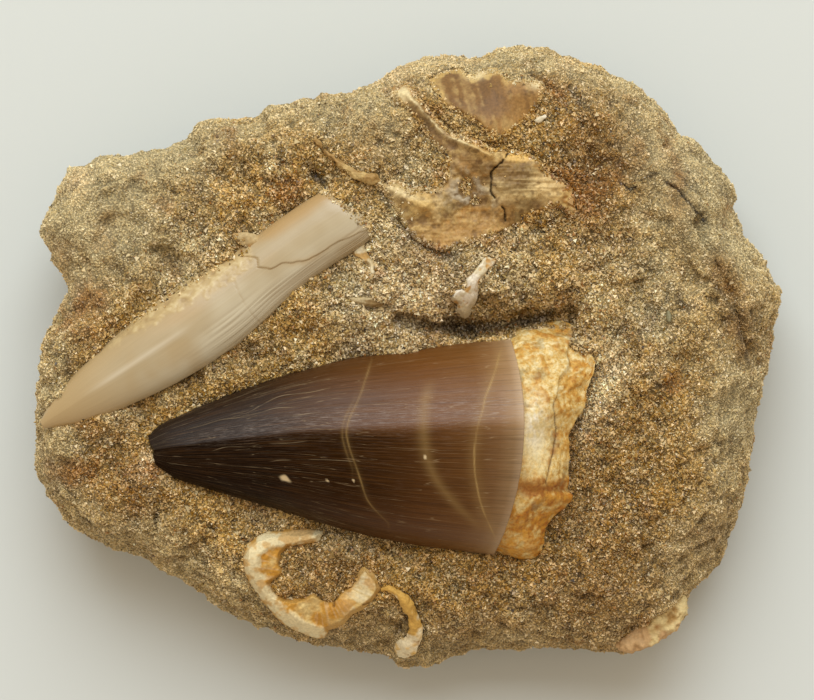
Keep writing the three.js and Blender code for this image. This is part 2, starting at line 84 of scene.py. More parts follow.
def add_object(name, data):
    """Puts a mesh, a lamp or a camera into the scene."""
    thing = bpy.data.objects.new(name, data)
    bpy.context.scene.collection.objects.link(thing)
    return thing


camera_data = bpy.data.cameras.new("camera")
camera_data.lens = LENS
camera_data.sensor_fit = "HORIZONTAL"
camera_data.clip_start = 10 * MM
camera_data.clip_end = 5
camera = add_object("camera", camera_data)
camera.location = (0, CAMERA_Y * MM, CAMERA_HEIGHT * MM)
bpy.context.scene.camera = camera
bpy.context.scene.view_settings.view_transform = "Standard"
print("camera", tuple(round(value, 4) for value in camera.location))

# %% Colours and material nodes
# A Mix node has one set of sockets for each kind of data. These are the colour ones.
MIX_FACTOR, MIX_A, MIX_B = 0, 6, 7
RANGE_ENDS = ("From Min", "From Max", "To Min", "To Max")


def linear(hex_colour):
    """An sRGB hex colour as the linear light values that shaders work in, and a full alpha."""
    srgb = np.array([int(hex_colour[i : i + 2], 16) for i in (1, 3, 5)]) / 255
    light = np.where(srgb <= 0.04045, srgb / 12.92, ((srgb + 0.055) / 1.055) ** 2.4)
    return (*light.tolist(), 1.0)


def fill(node, inputs):
    """Fills a node's inputs, each with a plain value, an output, or a node's first output in use."""
    for key, value in inputs.items():
        if isinstance(value, bpy.types.Node):
            value = next(output for output in value.outputs if output.enabled)
        if isinstance(value, bpy.types.NodeSocket):
            node.id_data.links.new(value, node.inputs[key])
        else:
            node.inputs[key].default_value = value


def add_node(material, kind, inputs=None, ends=(), stops=(), **settings):
    """Adds a node to a material, sets its fields and fills its inputs.

    A range takes its four ends in order, and a colour ramp its stops as (position, hex colour) pairs.
    """
    node = material.node_tree.nodes.new(f"ShaderNode{kind}")
    for field, value in settings.items():
        setattr(node, field, value)
    fill(node, (inputs or {}) | dict(zip(RANGE_ENDS, ends)))
    for number, (position, colour) in enumerate(stops):
        elements = node.color_ramp.elements
        element = elements[number] if number < len(elements) else elements.new(1.0)
        element.position = position
        element.color = linear(colour)
    return node


def new_material(name):
    """A node material with one Principled shader. Returns the material and that shader."""
    material = bpy.data.materials.new(name)
    material.use_nodes = True
    return material, material.node_tree.nodes["Principled BSDF"]


# %% Floor, lamp and world
FLOOR_HALF = 900
WINDOW_PLACE, WINDOW_WIDTH, WINDOW_WATTS = (-40, 690, 740), 860, 11.2
ROOM_STRENGTH = 0.64

# Uncoated paper scatters light evenly, so it has no shine.
paper, paper_shader = new_material("matt_white_paper")
fill(paper_shader, {"Base Color": linear("#ced3ce"), "Roughness": 0.9})
floor_mesh = bpy.data.meshes.new("floor")
corners = [(x * FLOOR_HALF * MM, y * FLOOR_HALF * MM, 0) for x, y in [(-1, -1), (1, -1), (1, 1), (-1, 1)]]
floor_mesh.from_pydata(corners, [], [(0, 1, 2, 3)])
floor_mesh.materials.append(paper)
floor = add_object("floor", floor_mesh)

window_data = bpy.data.lights.new("window", "AREA")
window_data.size = WINDOW_WIDTH * MM
window_data.energy = WINDOW_WATTS
window_data.color = linear("#ecf6ff")[:3]
window = add_object("window", window_data)
window.location = [value * MM for value in WINDOW_PLACE]
window.rotation_euler = window.location.to_track_quat("Z", "Y").to_euler()

world = bpy.data.worlds.new("white_room")
world.use_nodes = True
fill(world.node_tree.nodes["Background"], {"Color": linear("#ffead2"), "Strength": ROOM_STRENGTH})
bpy.context.scene.world = world
print("from the window to the paper:", round(window.location.length / MM), "mm")

# %% [markdown]
# ## Tools for stone
#
# Stone and bone have no straight lines, so most shapes here are a smooth formula plus noise. The noise is
# worked out with numpy for all points at once. Smooth lines run through a few measured pairs of numbers,
# and meshes go to Blender as whole arrays, which is quick even for a hundred thousand points.

# %% Noise
LATTICE_SIDE = 32


def smooth_noise(points, size, seed):
    """Soft random hills, from -1 to 1, about `size` mm from hill to hill.

    Random numbers sit on the corners of a cubic lattice. A point blends the eight corners of its own
    cell, with weights that ease in and out along each axis as 3t^2 - 2t^3.
    """
    lattice = np.random.default_rng(seed).uniform(-1, 1, (LATTICE_SIDE,) * 3)
    cell = points / size
    corner = np.floor(cell).astype(int)
    ease = cell - corner
    ease = ease * ease * (3 - 2 * ease)
    total = 0
    for step in np.ndindex(2, 2, 2):
        share = np.prod(np.where(step, ease, 1 - ease), axis=-1)
        i, j, k = np.moveaxis((corner + step) % LATTICE_SIDE, -1, 0)
        total = total + share * lattice[i, j, k]
    return total


def rough_noise(points, size, seed, layers=3):
    """Layers of smooth noise, each half as wide and half as high as the one before."""
    return sum(smooth_noise(points + 7.3 * n, size / 2**n, seed + n) / 2**n for n in range(layers))


# %% Smooth lines
def smooth_line(pairs, at):
    """A line through (position, value) pairs, at all the positions in `at`.

    Between two pairs it is a cubic, and its slope at a pair is the slope from the pair before to the
    pair after.
    """
    x, y = np.asarray(pairs, float).T
    order = np.arange(len(x))
    before = np.maximum(order - 1, 0)
    after = np.minimum(order + 1, len(x) - 1)
    slope = (y[after] - y[before]) / (x[after] - x[before])
    at = np.clip(at, x[0], x[-1])
    i = np.clip(np.searchsorted(x, at) - 1, 0, len(x) - 2)
    span = x[i + 1] - x[i]
    t = (at - x[i]) / span
    keep = 2 * t**3 - 3 * t**2 + 1
    leave = t**3 - 2 * t**2 + t
    reach = t**3 - t**2
    return keep * y[i] + (1 - keep) * y[i + 1] + span * (leave * slope[i] + reach * slope[i + 1])


def smooth_round(pairs, angle):
    """The same for (angle, value) pairs that close on themselves after a full turn."""
    pairs = np.asarray(sorted(pairs), float)
    before = pairs[-3:] - [TURN, 0]
    after = pairs[:3] + [TURN, 0]
    return smooth_line(np.vstack([before, pairs, after]), np.mod(angle, TURN))


def radius_by_angle(outline, angle):
    """The radius of an outline of (x, y) points round the origin, at each angle."""
    x, y = np.asarray(outline, float).T
    return smooth_round(list(zip(np.mod(np.arctan2(y, x), TURN), np.hypot(x, y))), angle)


def bell(distance, width):
    """A bell curve: 1 at distance 0, falling to 0.37 at `width`."""
    return np.exp(-((distance / width) ** 2))


def fade(value, start, end):
    """0 before start, 1 after end, and an eased step between."""
    t = np.clip((value - start) / (end - start), 0, 1)
    return t * t * (3 - 2 * t)


def along_and_across(x, y, turn):
    """How far (x, y) lies along a line from the origin at an angle from +X, and how far to its left."""
    return x * np.cos(turn) + y * np.sin(turn), y * np.cos(turn) - x * np.sin(turn)


# %% Meshes from arrays
def make_mesh(name, points, quads, triangles=np.empty((0, 3), int), corner_uv=None):
    """A mesh from points in mm, rows of four point numbers, and rows of three.

    corner_uv holds a place on the unit square for each face corner, quads first. It is stored as a map
    named OFBake. The export bakes the colours through that map, which is why it has the name that the
    export looks for.
    """
    corners = np.concatenate([quads.ravel(), triangles.ravel()])
    starts = [np.arange(len(quads)) * 4, len(quads) * 4 + np.arange(len(triangles)) * 3]
    mesh = bpy.data.meshes.new(name)
    mesh.vertices.add(len(points))
    mesh.vertices.foreach_set("co", (points * MM).astype(np.float32).ravel())
    mesh.loops.add(len(corners))
    mesh.loops.foreach_set("vertex_index", corners.astype(np.int32))
    mesh.polygons.add(len(quads) + len(triangles))
    mesh.polygons.foreach_set("loop_start", np.concatenate(starts).astype(np.int32))
    mesh.update(calc_edges=True)
    if corner_uv is not None:
        layer = mesh.uv_layers.new(name="OFBake")
        layer.uv.foreach_set("vector", corner_uv.astype(np.float32).ravel())
    return mesh


def add_values(mesh, name, values):
    """Stores one number or one solid colour per point, for the material to read."""
    kind, field = "FLOAT", "value"
    if values.ndim == 2:
        kind, field = "FLOAT_COLOR", "color"
        values = np.concatenate([values, np.ones((len(values), 1))], axis=1)
    attribute = mesh.attributes.new(name, kind, "POINT")
    attribute.data.foreach_set(field, values.astype(np.float32).ravel())


def add_piece(mesh, material, node=None, smooth=True):
    """Puts a mesh in the scene as a piece of the block. It stands for a CAD node if one is named."""
    mesh.materials.append(material)
    mesh.polygons.foreach_set("use_smooth", np.full(len(mesh.polygons), smooth))
    piece = add_object(mesh.name, mesh)
    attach(piece, "root")
    if node:
        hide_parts(node)
    print(f"{mesh.name}: {len(mesh.loops) - 2 * len(mesh.polygons)} triangles")


def point_normals(points, quads):
    """The outward direction at each point: the sum of the face normals round it, made one long."""
    a, b, c, d = points[quads].swapaxes(0, 1)
    face = np.cross(c - a, d - b)
    total = np.zeros_like(points)
    for corner in quads.T:
        for axis in range(3):
            total[:, axis] += np.bincount(corner, face[:, axis], len(points))
    return total / np.linalg.norm(total, axis=1, keepdims=True).clip(1e-12)


# %% Closed tubes over rings of points
def ring_grid(rings):
    """Rings of points, an array of (rows, sides, 3), as a point list and the quads between them."""
    rows, sides = rings.shape[:2]
    i, j = np.indices((rows - 1, sides)).reshape(2, -1)
    beside = (j + 1) % sides
    here, there = i * sides, (i + 1) * sides
    quads = np.stack([here + j, here + beside, there + beside, there + j], axis=1)
    # The faces have to look outwards: the volume that they enclose is then above zero.
    points = rings.reshape(-1, 3)
    a, b, c, d = points[quads].swapaxes(0, 1)
    volume = (a * (np.cross(b, c) + np.cross(c, d))).sum()
    return points, quads if volume > 0 else quads[:, ::-1]


def relieved(rings, relief):
    """The rings with every point moved along its outward direction by its relief in mm."""
    points, quads = ring_grid(rings)
    return (points + point_normals(points, quads) * relief.reshape(-1, 1)).reshape(rings.shape)


def print_relief(name, relief):
    """Prints how far down and up a relief goes."""
    print(f"relief of the {name}: {relief.min():.2f} to {relief.max():.2f} mm")


def face_places(*corners):
    """Places of faces on the unit square, from the u and v of each of their corners."""
    return np.stack([np.stack(np.broadcast_arrays(u, v), axis=1) for u, v in corners], axis=1)


def tube_mesh(name, rings, stored):
    """A closed mesh over rings of points, with a fan over each end, unrolled on the unit square.

    Rows run across the square and the way round runs up it, each by its real length on the surface.
    The stored values are given by name, per ring point. Each end's middle point takes its ring's mean.
    """
    rows, sides = rings.shape[:2]
    points, quads = ring_grid(rings)
    points = np.vstack([points, rings[0].mean(0), rings[-1].mean(0)])
    side = np.arange(sides)
    beside = (side + 1) % sides
    pole, last = np.full(sides, rows * sides), (rows - 1) * sides
    fans = np.vstack([
        np.stack([pole, beside, side], axis=1), np.stack([pole + 1, last + side, last + beside], axis=1),
    ])

    row_steps = np.linalg.norm(np.diff(rings, axis=0), axis=2).mean(1)
    around = np.linalg.norm(rings - np.roll(rings, -1, axis=1), axis=2).mean(0)
    u = 0.01 + 0.98 * np.concatenate([[0], np.cumsum(row_steps)]) / row_steps.sum()
    v = np.concatenate([[0], np.cumsum(around)]) / around.sum()
    i, j = np.indices((rows - 1, sides)).reshape(2, -1)
    quad_uv = face_places((u[i], v[j]), (u[i], v[j + 1]), (u[i + 1], v[j + 1]), (u[i + 1], v[j]))
    low, high, between = v[:-1], v[1:], (v[:-1] + v[1:]) / 2
    fan_uv = np.concatenate([
        face_places((0, between), (u[0], high), (u[0], low)),
        face_places((1, between), (u[-1], low), (u[-1], high)),
    ])
    if quads[0, 0] != 0:  # ring_grid has turned the faces round
        fans, quad_uv, fan_uv = fans[:, ::-1], quad_uv[:, ::-1], fan_uv[:, ::-1]
    corner_uv = np.concatenate([quad_uv.reshape(-1, 2), fan_uv.reshape(-1, 2)])
    mesh = make_mesh(name, points, quads, fans, corner_uv)
    for key, values in stored.items():
        ends = np.stack([values[0].mean(0), values[-1].mean(0)])
        add_values(mesh, key, np.concatenate([values.reshape(-1, *values.shape[2:]), ends]))
    return mesh


# %% [markdown]
# ## The shape of the block
#
# The block is a lump of sandstone that broke out of its bed. Its top was worked down to the fossils, its
# walls are broken and rounded, and it lies on a small flat spot. It could be sculpted by hand, but a formula
# keeps it true to the CAD: an outline seen from above, a top face with swells and hollows, a shoulder that
# rounds over to the widest line, and an underside that curves in to the flat spot.

# %% The block's outline, shoulder and swells
# The widest line, seen from above.
BLOCK_OUTLINE = [
    (51.5, 7.9), (49.7, 13.2), (46.9, 17.5), (45.3, 20.8), (45.8, 22.1), (43, 26.7), (39.3, 30.4),
    (38, 30.4), (34.5, 35.6), (31.6, 38.2), (26.2, 40.6), (20.8, 42.6), (18.1, 43.1), (14.1, 42.8),
    (9.3, 41.4), (5.6, 42), (1, 41.3), (-4, 38.7), (-8.6, 36.7), (-12.1, 36.4), (-16.9, 34.8),
    (-19.6, 34.6), (-21, 33.2), (-27.2, 33.1), (-31.6, 30.2), (-38.3, 28.5), (-45.3, 27.2), (-48.6, 23.5),
    (-50.6, 17.3), (-49.5, 14.8), (-47.5, 10.5), (-48.9, 4.9), (-50.6, 2.7), (-51.4, -2.2), (-51.7, -12),
    (-50.8, -18), (-48.6, -21.2), (-45.8, -24.3), (-37.9, -27), (-29.1, -32.3), (-25.4, -35.3),
    (-14.2, -39.9), (-2.9, -41.7), (-0.7, -43.1), (4.6, -42.6), (10.2, -41), (21.3, -40.5), (32.5, -40.8),
    (38.6, -36.3), (39.4, -33.2), (43.9, -27.5), (46.4, -19.7), (47.1, -15.1), (49, -5), (50.7, 3),
]
TOP_HEIGHT = 25.2
TOP_FALL = 0.05  # the top face rises this much for each millimetre of y
REST_SHARE = 0.52  # the flat spot's size, as a share of the outline

# Every 45 degrees from +X: the share of the outline where the shoulder starts, and the widest line's height.
SHOULDER_STARTS = [0.74, 0.78, 0.8, 0.84, 0.9, 0.78, 0.62, 0.7]
RIM_HEIGHTS = [9, 10, 10.5, 11.5, 12, 9, 8, 8.5]

# Swells and hollows of the top: middle x and y, half length, half width, turn in degrees, height.
SWELLS = [
    (-7, -12, 27, 13, 2, -1.6),  # the bed of the mosasaur tooth
    (11, 4.7, 12, 2.2, 7, -2.6),  # groove along the crown's upper side
    (8.5, 10.5, 18, 4.5, 5, 1.2),  # bank above that groove
    (12.5, 17.2, 9, 2, 3, -1.3),  # trough below the fish bone
    (9.8, 26, 14, 10, 0, 1.3),  # hump that carries the fish bone
    (38.2, 10.5, 13, 2.2, -54, -2.2),  # valley inside the right lip
    (42.6, 14, 14, 2.8, -54, 1.4),  # the right lip
    (25.2, -19.2, 4, 6, 0, -1.8),  # hollow beside the root
    (32.6, -26.6, 7, 2.5, 8, -1.2),  # hollow near the lower right
    (-41.2, 19, 8, 7, 0, 1),  # hump in the upper left corner
    (-28, 14.6, 10, 2.2, 30, -1),  # hollow along the fish fang
    (-23.8, -1.5, 10, 2.2, 28, -0.7),  # dip between fang and tooth
    (-10.3, -23.6, 15, 2.4, -12, -1.2),  # groove under the crown's lower side
    (-11.5, -30, 5, 3.4, -25, -0.8),  # the fill inside the ring bone
]


# %% The height of the block
def every_eighth(values, angle):
    """Values given every 45 degrees, as a smooth function of the angle."""
    return smooth_round([(i * TURN / 8, value) for i, value in enumerate(values)], angle)


def swell(one, x, y):
    """A swell: a bell shape, longer one way and turned."""
    middle_x, middle_y, long, wide, turn, lift = one
    along, across = along_and_across(x - middle_x, y - middle_y, np.radians(turn))
    return lift * bell(along, long) * bell(across, wide)


def lumps(x, y):
    """Low uneven lumps, from a few crossing waves."""
    crossing = 0.45 * np.sin(0.31 * x + 0.13 * y + 0.6) * np.cos(0.27 * y - 0.11 * x)
    return crossing + 0.3 * np.sin(0.55 * x - 0.41 * y + 1.9) + 0.22 * np.cos(0.83 * y + 0.47 * x + 0.4)


def top_face(x, y):
    """The height of the worked top: a slightly tilted plane, plus the lumps and every swell."""
    return TOP_HEIGHT + TOP_FALL * y + lumps(x, y) + sum(swell(one, x, y) for one in SWELLS)


def sand_height(x, y):
    """The block's height at (x, y): the top face, and past the shoulder's start a quarter ellipse down."""
    angle = np.arctan2(y, x)
    share = np.minimum(np.hypot(x, y) / radius_by_angle(BLOCK_OUTLINE, angle), 1)
    start = every_eighth(SHOULDER_STARTS, angle)
    rim = every_eighth(RIM_HEIGHTS, angle)
    down = np.maximum(share - start, 0) / (1 - start)
    return rim + (top_face(x, y) - rim) * np.sqrt(1 - down**2)


print("sand height at the middle:", sand_height(np.zeros(1), np.zeros(1)).round(2))

# %% [markdown]
# ## The mosasaur tooth: its shape
#
# The tooth is a blunt cone of enamel, worn off at the tip, with one cutting edge, the keel, along it. The
# crown's base ends in a thin rim, and the root goes on from under it, a little slimmer and badly broken. It
# grew as one tooth, so it is one closed surface here. Rings of points run from the tip over the crown, in
# under the rim, along the root and over its broken end. Most of each ring's points are on the upper side,
# because the other half is buried.

# %% The crown's and the root's measures
TIP_X, BASE_X = -33.9, 15.3
TIP_Z, BASE_Z = 23.4, 21.2  # the axis lies lower at the base
CROWN_ROUNDNESS = 0.83  # half height over half width
KEEL_HEIGHT = 0.12  # the cutting edge, as a share of the radius
KEEL_WIDTH = 0.28  # radians
# By share of the crown's length, from the tip.
CROWN_HALF_WIDTH = [(0, 2.3), (0.04, 3.7), (0.1, 4.9), (0.27, 7.7), (0.5, 11), (0.75, 13.3), (1, 14.8)]
CROWN_AXIS_Y = [(0, -12.7), (0.2, -12), (0.4, -11.6), (0.7, -12), (1, -12.1)]
KEEL_ANGLE = [(0, 1.47), (1, 1.32)]  # from +Y, turning towards +Z

# The root starts inside the crown. It has two half widths and half heights, at its start and its broken end.
ROOT_START_X, ROOT_AXIS_Y, ROOT_AXIS_Z = 9, -11.7, 21.2
ROOT_HALF_WIDTHS = (13.6, 15.6)
ROOT_HALF_HEIGHTS = (11.8, 5.5)
# Where it is broken off, by the side, from -1 to 1.
ROOT_END_X = [
    (-1, 15.8), (-0.9, 18), (-0.72, 18.6), (-0.6, 20.2), (-0.47, 22.2), (-0.36, 21.8), (0, 21.8),
    (0.13, 21.9), (0.35, 24), (0.67, 25.8), (0.8, 24.9), (0.92, 23.8), (1, 21),
]

CROWN_ROWS, RIM_ROWS, ROOT_ROWS, TIP_ROWS, END_ROWS = 290, 5, 70, 8, 22
UPPER_COLUMNS, LOWER_COLUMNS = 200, 44
UPPER_ARC = 3.8  # radians of each ring that get the upper columns


# %% The tooth's surface
def ring_angles():
    """Angles round a ring from +Y over the top, crowded on the upper side and sparse underneath."""
    start = (np.pi - UPPER_ARC) / 2
    upper = start + UPPER_ARC * np.arange(UPPER_COLUMNS) / UPPER_COLUMNS
    lower = start + UPPER_ARC + (TURN - UPPER_ARC) * np.arange(LOWER_COLUMNS) / LOWER_COLUMNS
    return np.concatenate([upper, lower])


def crown_base_x(side):
    """Where the enamel ends: not square to the axis, so it depends on the side, -1 to 1."""
    return BASE_X + 1.15 * side - 2.6 * side**2


def crown_surface(share, angle):
    """A point of the crown, for a share of its length and an angle round its axis.

    The section is an ellipse whose radius rises to the keel: 1 + height * e^(-distance / width). Towards
    the base the keel's edge is rounded off.
    """
    from_keel = np.abs(angle - smooth_line(KEEL_ANGLE, share))
    from_keel = np.hypot(np.minimum(from_keel, TURN - from_keel), 0.12 * share**2)
    keel = 1 + KEEL_HEIGHT * np.exp(-from_keel / KEEL_WIDTH)
    half_width = smooth_line(CROWN_HALF_WIDTH, share) * keel
    side = np.cos(angle)
    tip_x = TIP_X - 0.6 * side
    return np.stack([
        tip_x + (crown_base_x(side) - tip_x) * share,
        smooth_line(CROWN_AXIS_Y, share) + half_width * side,
        TIP_Z + (BASE_Z - TIP_Z) * share + half_width * CROWN_ROUNDNESS * np.sin(angle),
    ], axis=-1)


def root_surface(share, angle):
    """A point of the root, from under the crown's rim (share 0) to the broken end (share 1).

    Its height falls from the rim to the end as the 2.6th power of the way along the whole root.
    """
    side = np.cos(angle)
    end_x = smooth_line(ROOT_END_X, side)
    x = crown_base_x(side) - 0.4 + (end_x - crown_base_x(side) + 0.4) * share
    whole = np.clip((x - ROOT_START_X) / (end_x - ROOT_START_X), 0, 1)
    half_width = ROOT_HALF_WIDTHS[0] + (ROOT_HALF_WIDTHS[1] - ROOT_HALF_WIDTHS[0]) * whole
    half_width = half_width * (1 + 0.035 * whole * fade(side, 0.5, 1) + 0.05 * whole * fade(-side, 0.6, 1))
    half_height = ROOT_HALF_HEIGHTS[0] + (ROOT_HALF_HEIGHTS[1] - ROOT_HALF_HEIGHTS[0]) * whole**2.6
    ragged = 1 + 0.035 * np.sin(7 * angle + 9 * whole) + 0.02 * np.sin(13 * angle - 5 * whole)
    return np.stack([
        x,
        ROOT_AXIS_Y + half_width * side,
        ROOT_AXIS_Z + half_height * ragged * np.sin(angle),
    ], axis=-1)


# %% The rings of the whole tooth
def blend_rings(first, last, shares, bulge=0.0):
    """Rings between two rings, at shares of the way, pushed towards +X in between by a bulge."""
    shares = np.asarray(shares)[:, None, None]
    between = first + (last - first) * shares
    between[..., 0] += bulge * np.sin(np.pi * shares[..., 0])
    return between


angles = ring_angles()
crown_shares = np.linspace(0, 1, CROWN_ROWS)
crown_share, crown_angle = np.meshgrid(crown_shares, angles, indexing="ij")
crown = crown_surface(crown_share, crown_angle)

# The tip is broken off: a sharp upper corner, a step in the middle, and a rounded lower corner.
across_tip = np.cos(crown_angle)
tip_break = 0.5 * bell(across_tip, 0.35) - 0.35 + 9 * np.clip(-across_tip - 0.75, 0, 1) ** 2
crown[..., 0] += tip_break * bell(crown_share, 0.04)

# The tip's worn end: rings that shrink to the middle on a quarter ellipse.
tip_turns = np.linspace(0, np.pi / 2, TIP_ROWS + 2)[1:-1, None, None]
tip_middle = crown[0].mean(0)
tip = tip_middle + (crown[0] - tip_middle) * np.sin(tip_turns)
tip[..., 0] -= 0.15 * np.cos(tip_turns[..., 0])

root_share, root_angle = np.meshgrid(np.linspace(0, 1, ROOT_ROWS), angles, indexing="ij")
root = root_surface(root_share, root_angle)
rim = blend_rings(crown[-1], root[0], np.arange(1, RIM_ROWS + 1) / (RIM_ROWS + 1), 0.12)

# The root's broken end: rings that shrink to the middle, a little hollow.
end_shares = (np.arange(1, END_ROWS + 1) / (END_ROWS + 1)) ** 1.3
end = blend_rings(root[-1], root[-1].mean(0) - [1.5, 0, 0], end_shares)

tooth = np.concatenate([tip, crown, rim, root, end])
row_kind = np.repeat([0, 1, 2, 3, 4], [TIP_ROWS, CROWN_ROWS, RIM_ROWS, ROOT_ROWS, END_ROWS])
print("tooth rings:", tooth.shape)

# %% [markdown]
# ## The mosasaur tooth: its relief and its marks
#
# Enamel is finely ribbed along the crown, and it has hair cracks filled with pale sand. Three pale lines
# cross the crown where its growth paused. The root is spongy bone: fibrous at the top, smooth and pale in
# the middle, pitted below, with a crack and a lobe that lies one layer lower. All of that could be painted,
# but real relief also catches the light, and it stays in the mesh. So each mark is worked
# out once per point, as a depth for the shape and as a mask for the material.

# %% Marks on the crown
# Pale growth lines: x by y, then half width and strength of the crisp core and of the soft halo.
GROWTH_LINES = [
    ([(-22.2, -2.4), (-20.5, -4), (-18.7, -5.3), (-14.9, -6.6), (-11.9, -7.7), (-8.6, -7.7), (-4.9, -6.1),
      (-0.4, -4.7)], 0.1, 0.45, 0.5, 0.05),
    ([(-22.6, 9.4), (-19.5, 6.4), (-16.2, 3.8), (-12.4, 2.4), (-7.4, 2.2), (-3.4, 3)], 0.2, 0.03, 0.8, 0.22),
    ([(-24.3, 11.9), (-19.5, 9.7), (-14.4, 8.9), (-9.1, 9.3), (-4.1, 10.9), (1.3, 12.8)],
     0.1, 0.65, 0.9, 0.15),
    ([(-14.9, -7.2), (-11.9, -8.3), (-8.6, -8.3), (-5.4, -6.9)], 0.1, 0.22, 0.3, 0.05),
]
# The longest hair cracks, filled with sand: y by x.
HAIR_CRACKS = [
    [(-29.6, -9.7), (-27.1, -9), (-23.9, -8.3), (-22.3, -8), (-19.6, -7.4), (-17.3, -6.8), (-14.5, -6.7)],
    [(-21.5, -7.5), (-18.1, -5.8), (-16.3, -5.1), (-14.9, -4.9), (-12.8, -4.7), (-10.4, -4.2), (-7.7, -3.6)],
    [(-26.3, -12.7), (-23.9, -12), (-20.8, -11.9), (-18.9, -11.5), (-15.7, -11.4), (-13.5, -11.2),
     (-8.8, -10.8)],
    [(-18.5, -14), (-16.5, -13.7), (-13.5, -13.6), (-11.2, -13.6), (-7.9, -13.8), (-5.1, -14.2)],
]
# Chips: middle x and y, half length and half width.
CHIPS = [
    (-16.3, -16.1, 0.75, 0.42), (2.4, -13.2, 0.2, 0.2), (-10.6, -16.4, 0.22, 0.12),
    (-7.1, -16.4, 0.2, 0.12),
]
GROWTH_SLANT = 0.93  # the lines cross the crown at a slant, so they are this much nearer than x says
MEAN_RADIUS = 12  # of the crown
FAR_OFF = 9.0

# %% The marks, worked out at each point
x, y, z = np.moveaxis(tooth, 2, 0)
kind = np.broadcast_to(row_kind[:, None], x.shape)
# Marks fade out where the crown goes into the sand.
is_up = fade(z, 23, 25)
on_crown = np.where(kind <= 1, 1.0, 0.0)
shown_crown = on_crown * is_up
share_all = np.concatenate([
    np.zeros((TIP_ROWS, len(angles))), crown_share, np.ones((RIM_ROWS + ROOT_ROWS + END_ROWS, len(angles))),
])
angle_all = np.broadcast_to(angles, x.shape)

# The way along and round the crown, in mm, which streaks follow: they run together towards the tip.
flow = np.stack([x - TIP_X, MEAN_RADIUS * angle_all, 0 * x], axis=-1)


def streaks(length, width, seed):
    """Noise that is long along the crown and narrow round it."""
    return smooth_noise(flow / [length, width, 1], 1, seed)


growth = np.zeros(x.shape)
wobble = 0.25 * smooth_noise(tooth, 2.5, 11)
patchy = 0.7 + 0.5 * smooth_noise(tooth, 1.8, 12)
for line, core, core_strength, halo, halo_strength in GROWTH_LINES:
    off = (x + wobble * 0.6 - smooth_line(line, y)) * GROWTH_SLANT
    inside = fade(y, line[0][0] - 2, line[0][0] + 3) * fade(-y, -line[-1][0] - 1, -line[-1][0] + 2)
    growth += (core_strength * bell(off, core) * patchy + halo_strength * bell(off, halo)) * inside
growth = np.clip(growth, 0, 1) * shown_crown

# A hair crack is thinner than the mesh is fine, so each point stores how far it is from the nearest one, with
# a sign for the side, and how strong the crack is there. The material draws the thin line where that is 0.
hair_off = np.full(x.shape, FAR_OFF)
hair_there = np.zeros(x.shape)
for number, line in enumerate(HAIR_CRACKS):
    off = y + 0.5 * wobble - smooth_line(line, x)
    inside = fade(x, line[0][0], line[0][0] + 1.5) * fade(-x, -line[-1][0], -line[-1][0] + 1.5)
    broken = np.clip(0.6 + 1.1 * smooth_noise(tooth + number, 1.2, 13), 0, 1)
    hair_off = np.where(np.abs(off) < np.abs(hair_off), off, hair_off)
    hair_there = np.maximum(hair_there, bell(off, 0.5) * inside * broken)
hair_there *= shown_crown
pale = np.zeros(x.shape)
chip_wobble = 0.5 * smooth_noise(tooth, 0.7, 17)
for chip_x, chip_y, half_long, half_wide in CHIPS:
    edge = np.hypot((x - chip_x) / half_long, (y - chip_y + 0.3 * (x - chip_x)) / half_wide) + chip_wobble
    pale = np.maximum(pale, 1 - fade(edge, 0.7, 1.25))
pale *= shown_crown

# Shade is painted on the enamel just past the keel, darkest there, and a sheen is painted in grey specks
# along a band on the keel's other side.
past_keel = angle_all - smooth_line(KEEL_ANGLE, share_all)
past_edge = fade(past_keel, -0.02 - 0.06 * share_all**2, 0.03 + 0.2 * share_all**2)
lighter_base = 1 - 0.5 * share_all * fade(np.abs(past_keel), 0.6, 1.2)
dark = past_edge * (0.3 + 0.45 * fade(-share_all, -1, -0.5)) * lighter_base
worn = bell(past_keel + 0.13, 0.16) * fade(share_all, 0.02, 0.2) + 0.1
crown_relief = on_crown * (
    0.05 * smooth_noise(tooth, 5, 14)
    + 0.022 * streaks(16, 0.9, 15) * (0.4 + share_all)
    + 0.014 * streaks(9, 0.4, 16)
    - 0.06 * pale
    + 0.03 * growth
)
print_relief("crown", crown_relief)

# %% Marks on the root
# The lobe's step, and the crack that goes on from it: x by y.
ROOT_STEP = [
    (-26, 23), (-19, 23), (-17.2, 18.8), (-15.4, 18.9), (-12.7, 19.5), (-10.3, 19.9), (-8.4, 19.7),
    (-5.8, 19.6), (-5.1, 20), (-3, 20.3), (-0.8, 21.7), (0.9, 21.5), (4, 23),
]
CRACK_TOP, CRACK_END = -5.5, -17.4
LOBE_DROP = 0.8
FIBRE_TURN = np.radians(18)

on_root = np.where(kind >= 3, 1.0, 0.0)
past_step = x - smooth_line(ROOT_STEP, y) + 0.5 * wobble
lobe = fade(past_step, -0.1, 0.25) * fade(y, -7, -4.5) * fade(-y, -3.5, -1)
crack = bell(past_step, 0.09) * fade(y, CRACK_END, CRACK_END + 0.8) * fade(-y, -CRACK_TOP, -CRACK_TOP + 0.8)
fibre_place = np.stack([*along_and_across(x, y, FIBRE_TURN), z], axis=-1)
fibres = smooth_noise(fibre_place / [4, 0.6, 1.2], 1, 21)
fine_fibres = smooth_noise(fibre_place / [1.8, 0.34, 0.6], 1, 22)
fibrous = fade(y, -9, -4)
spongy = rough_noise(tooth, 2.2, 23, 4)
specks = rough_noise(tooth + 80, 0.7, 25, 2)
smooth_band = bell(x - 16.8, 2.3) * bell(y + 10.8, 4.6)
roughness = 1 - 0.85 * smooth_band
from_rim = fade(x - crown_base_x(np.cos(angle_all)), 0, 1.4)
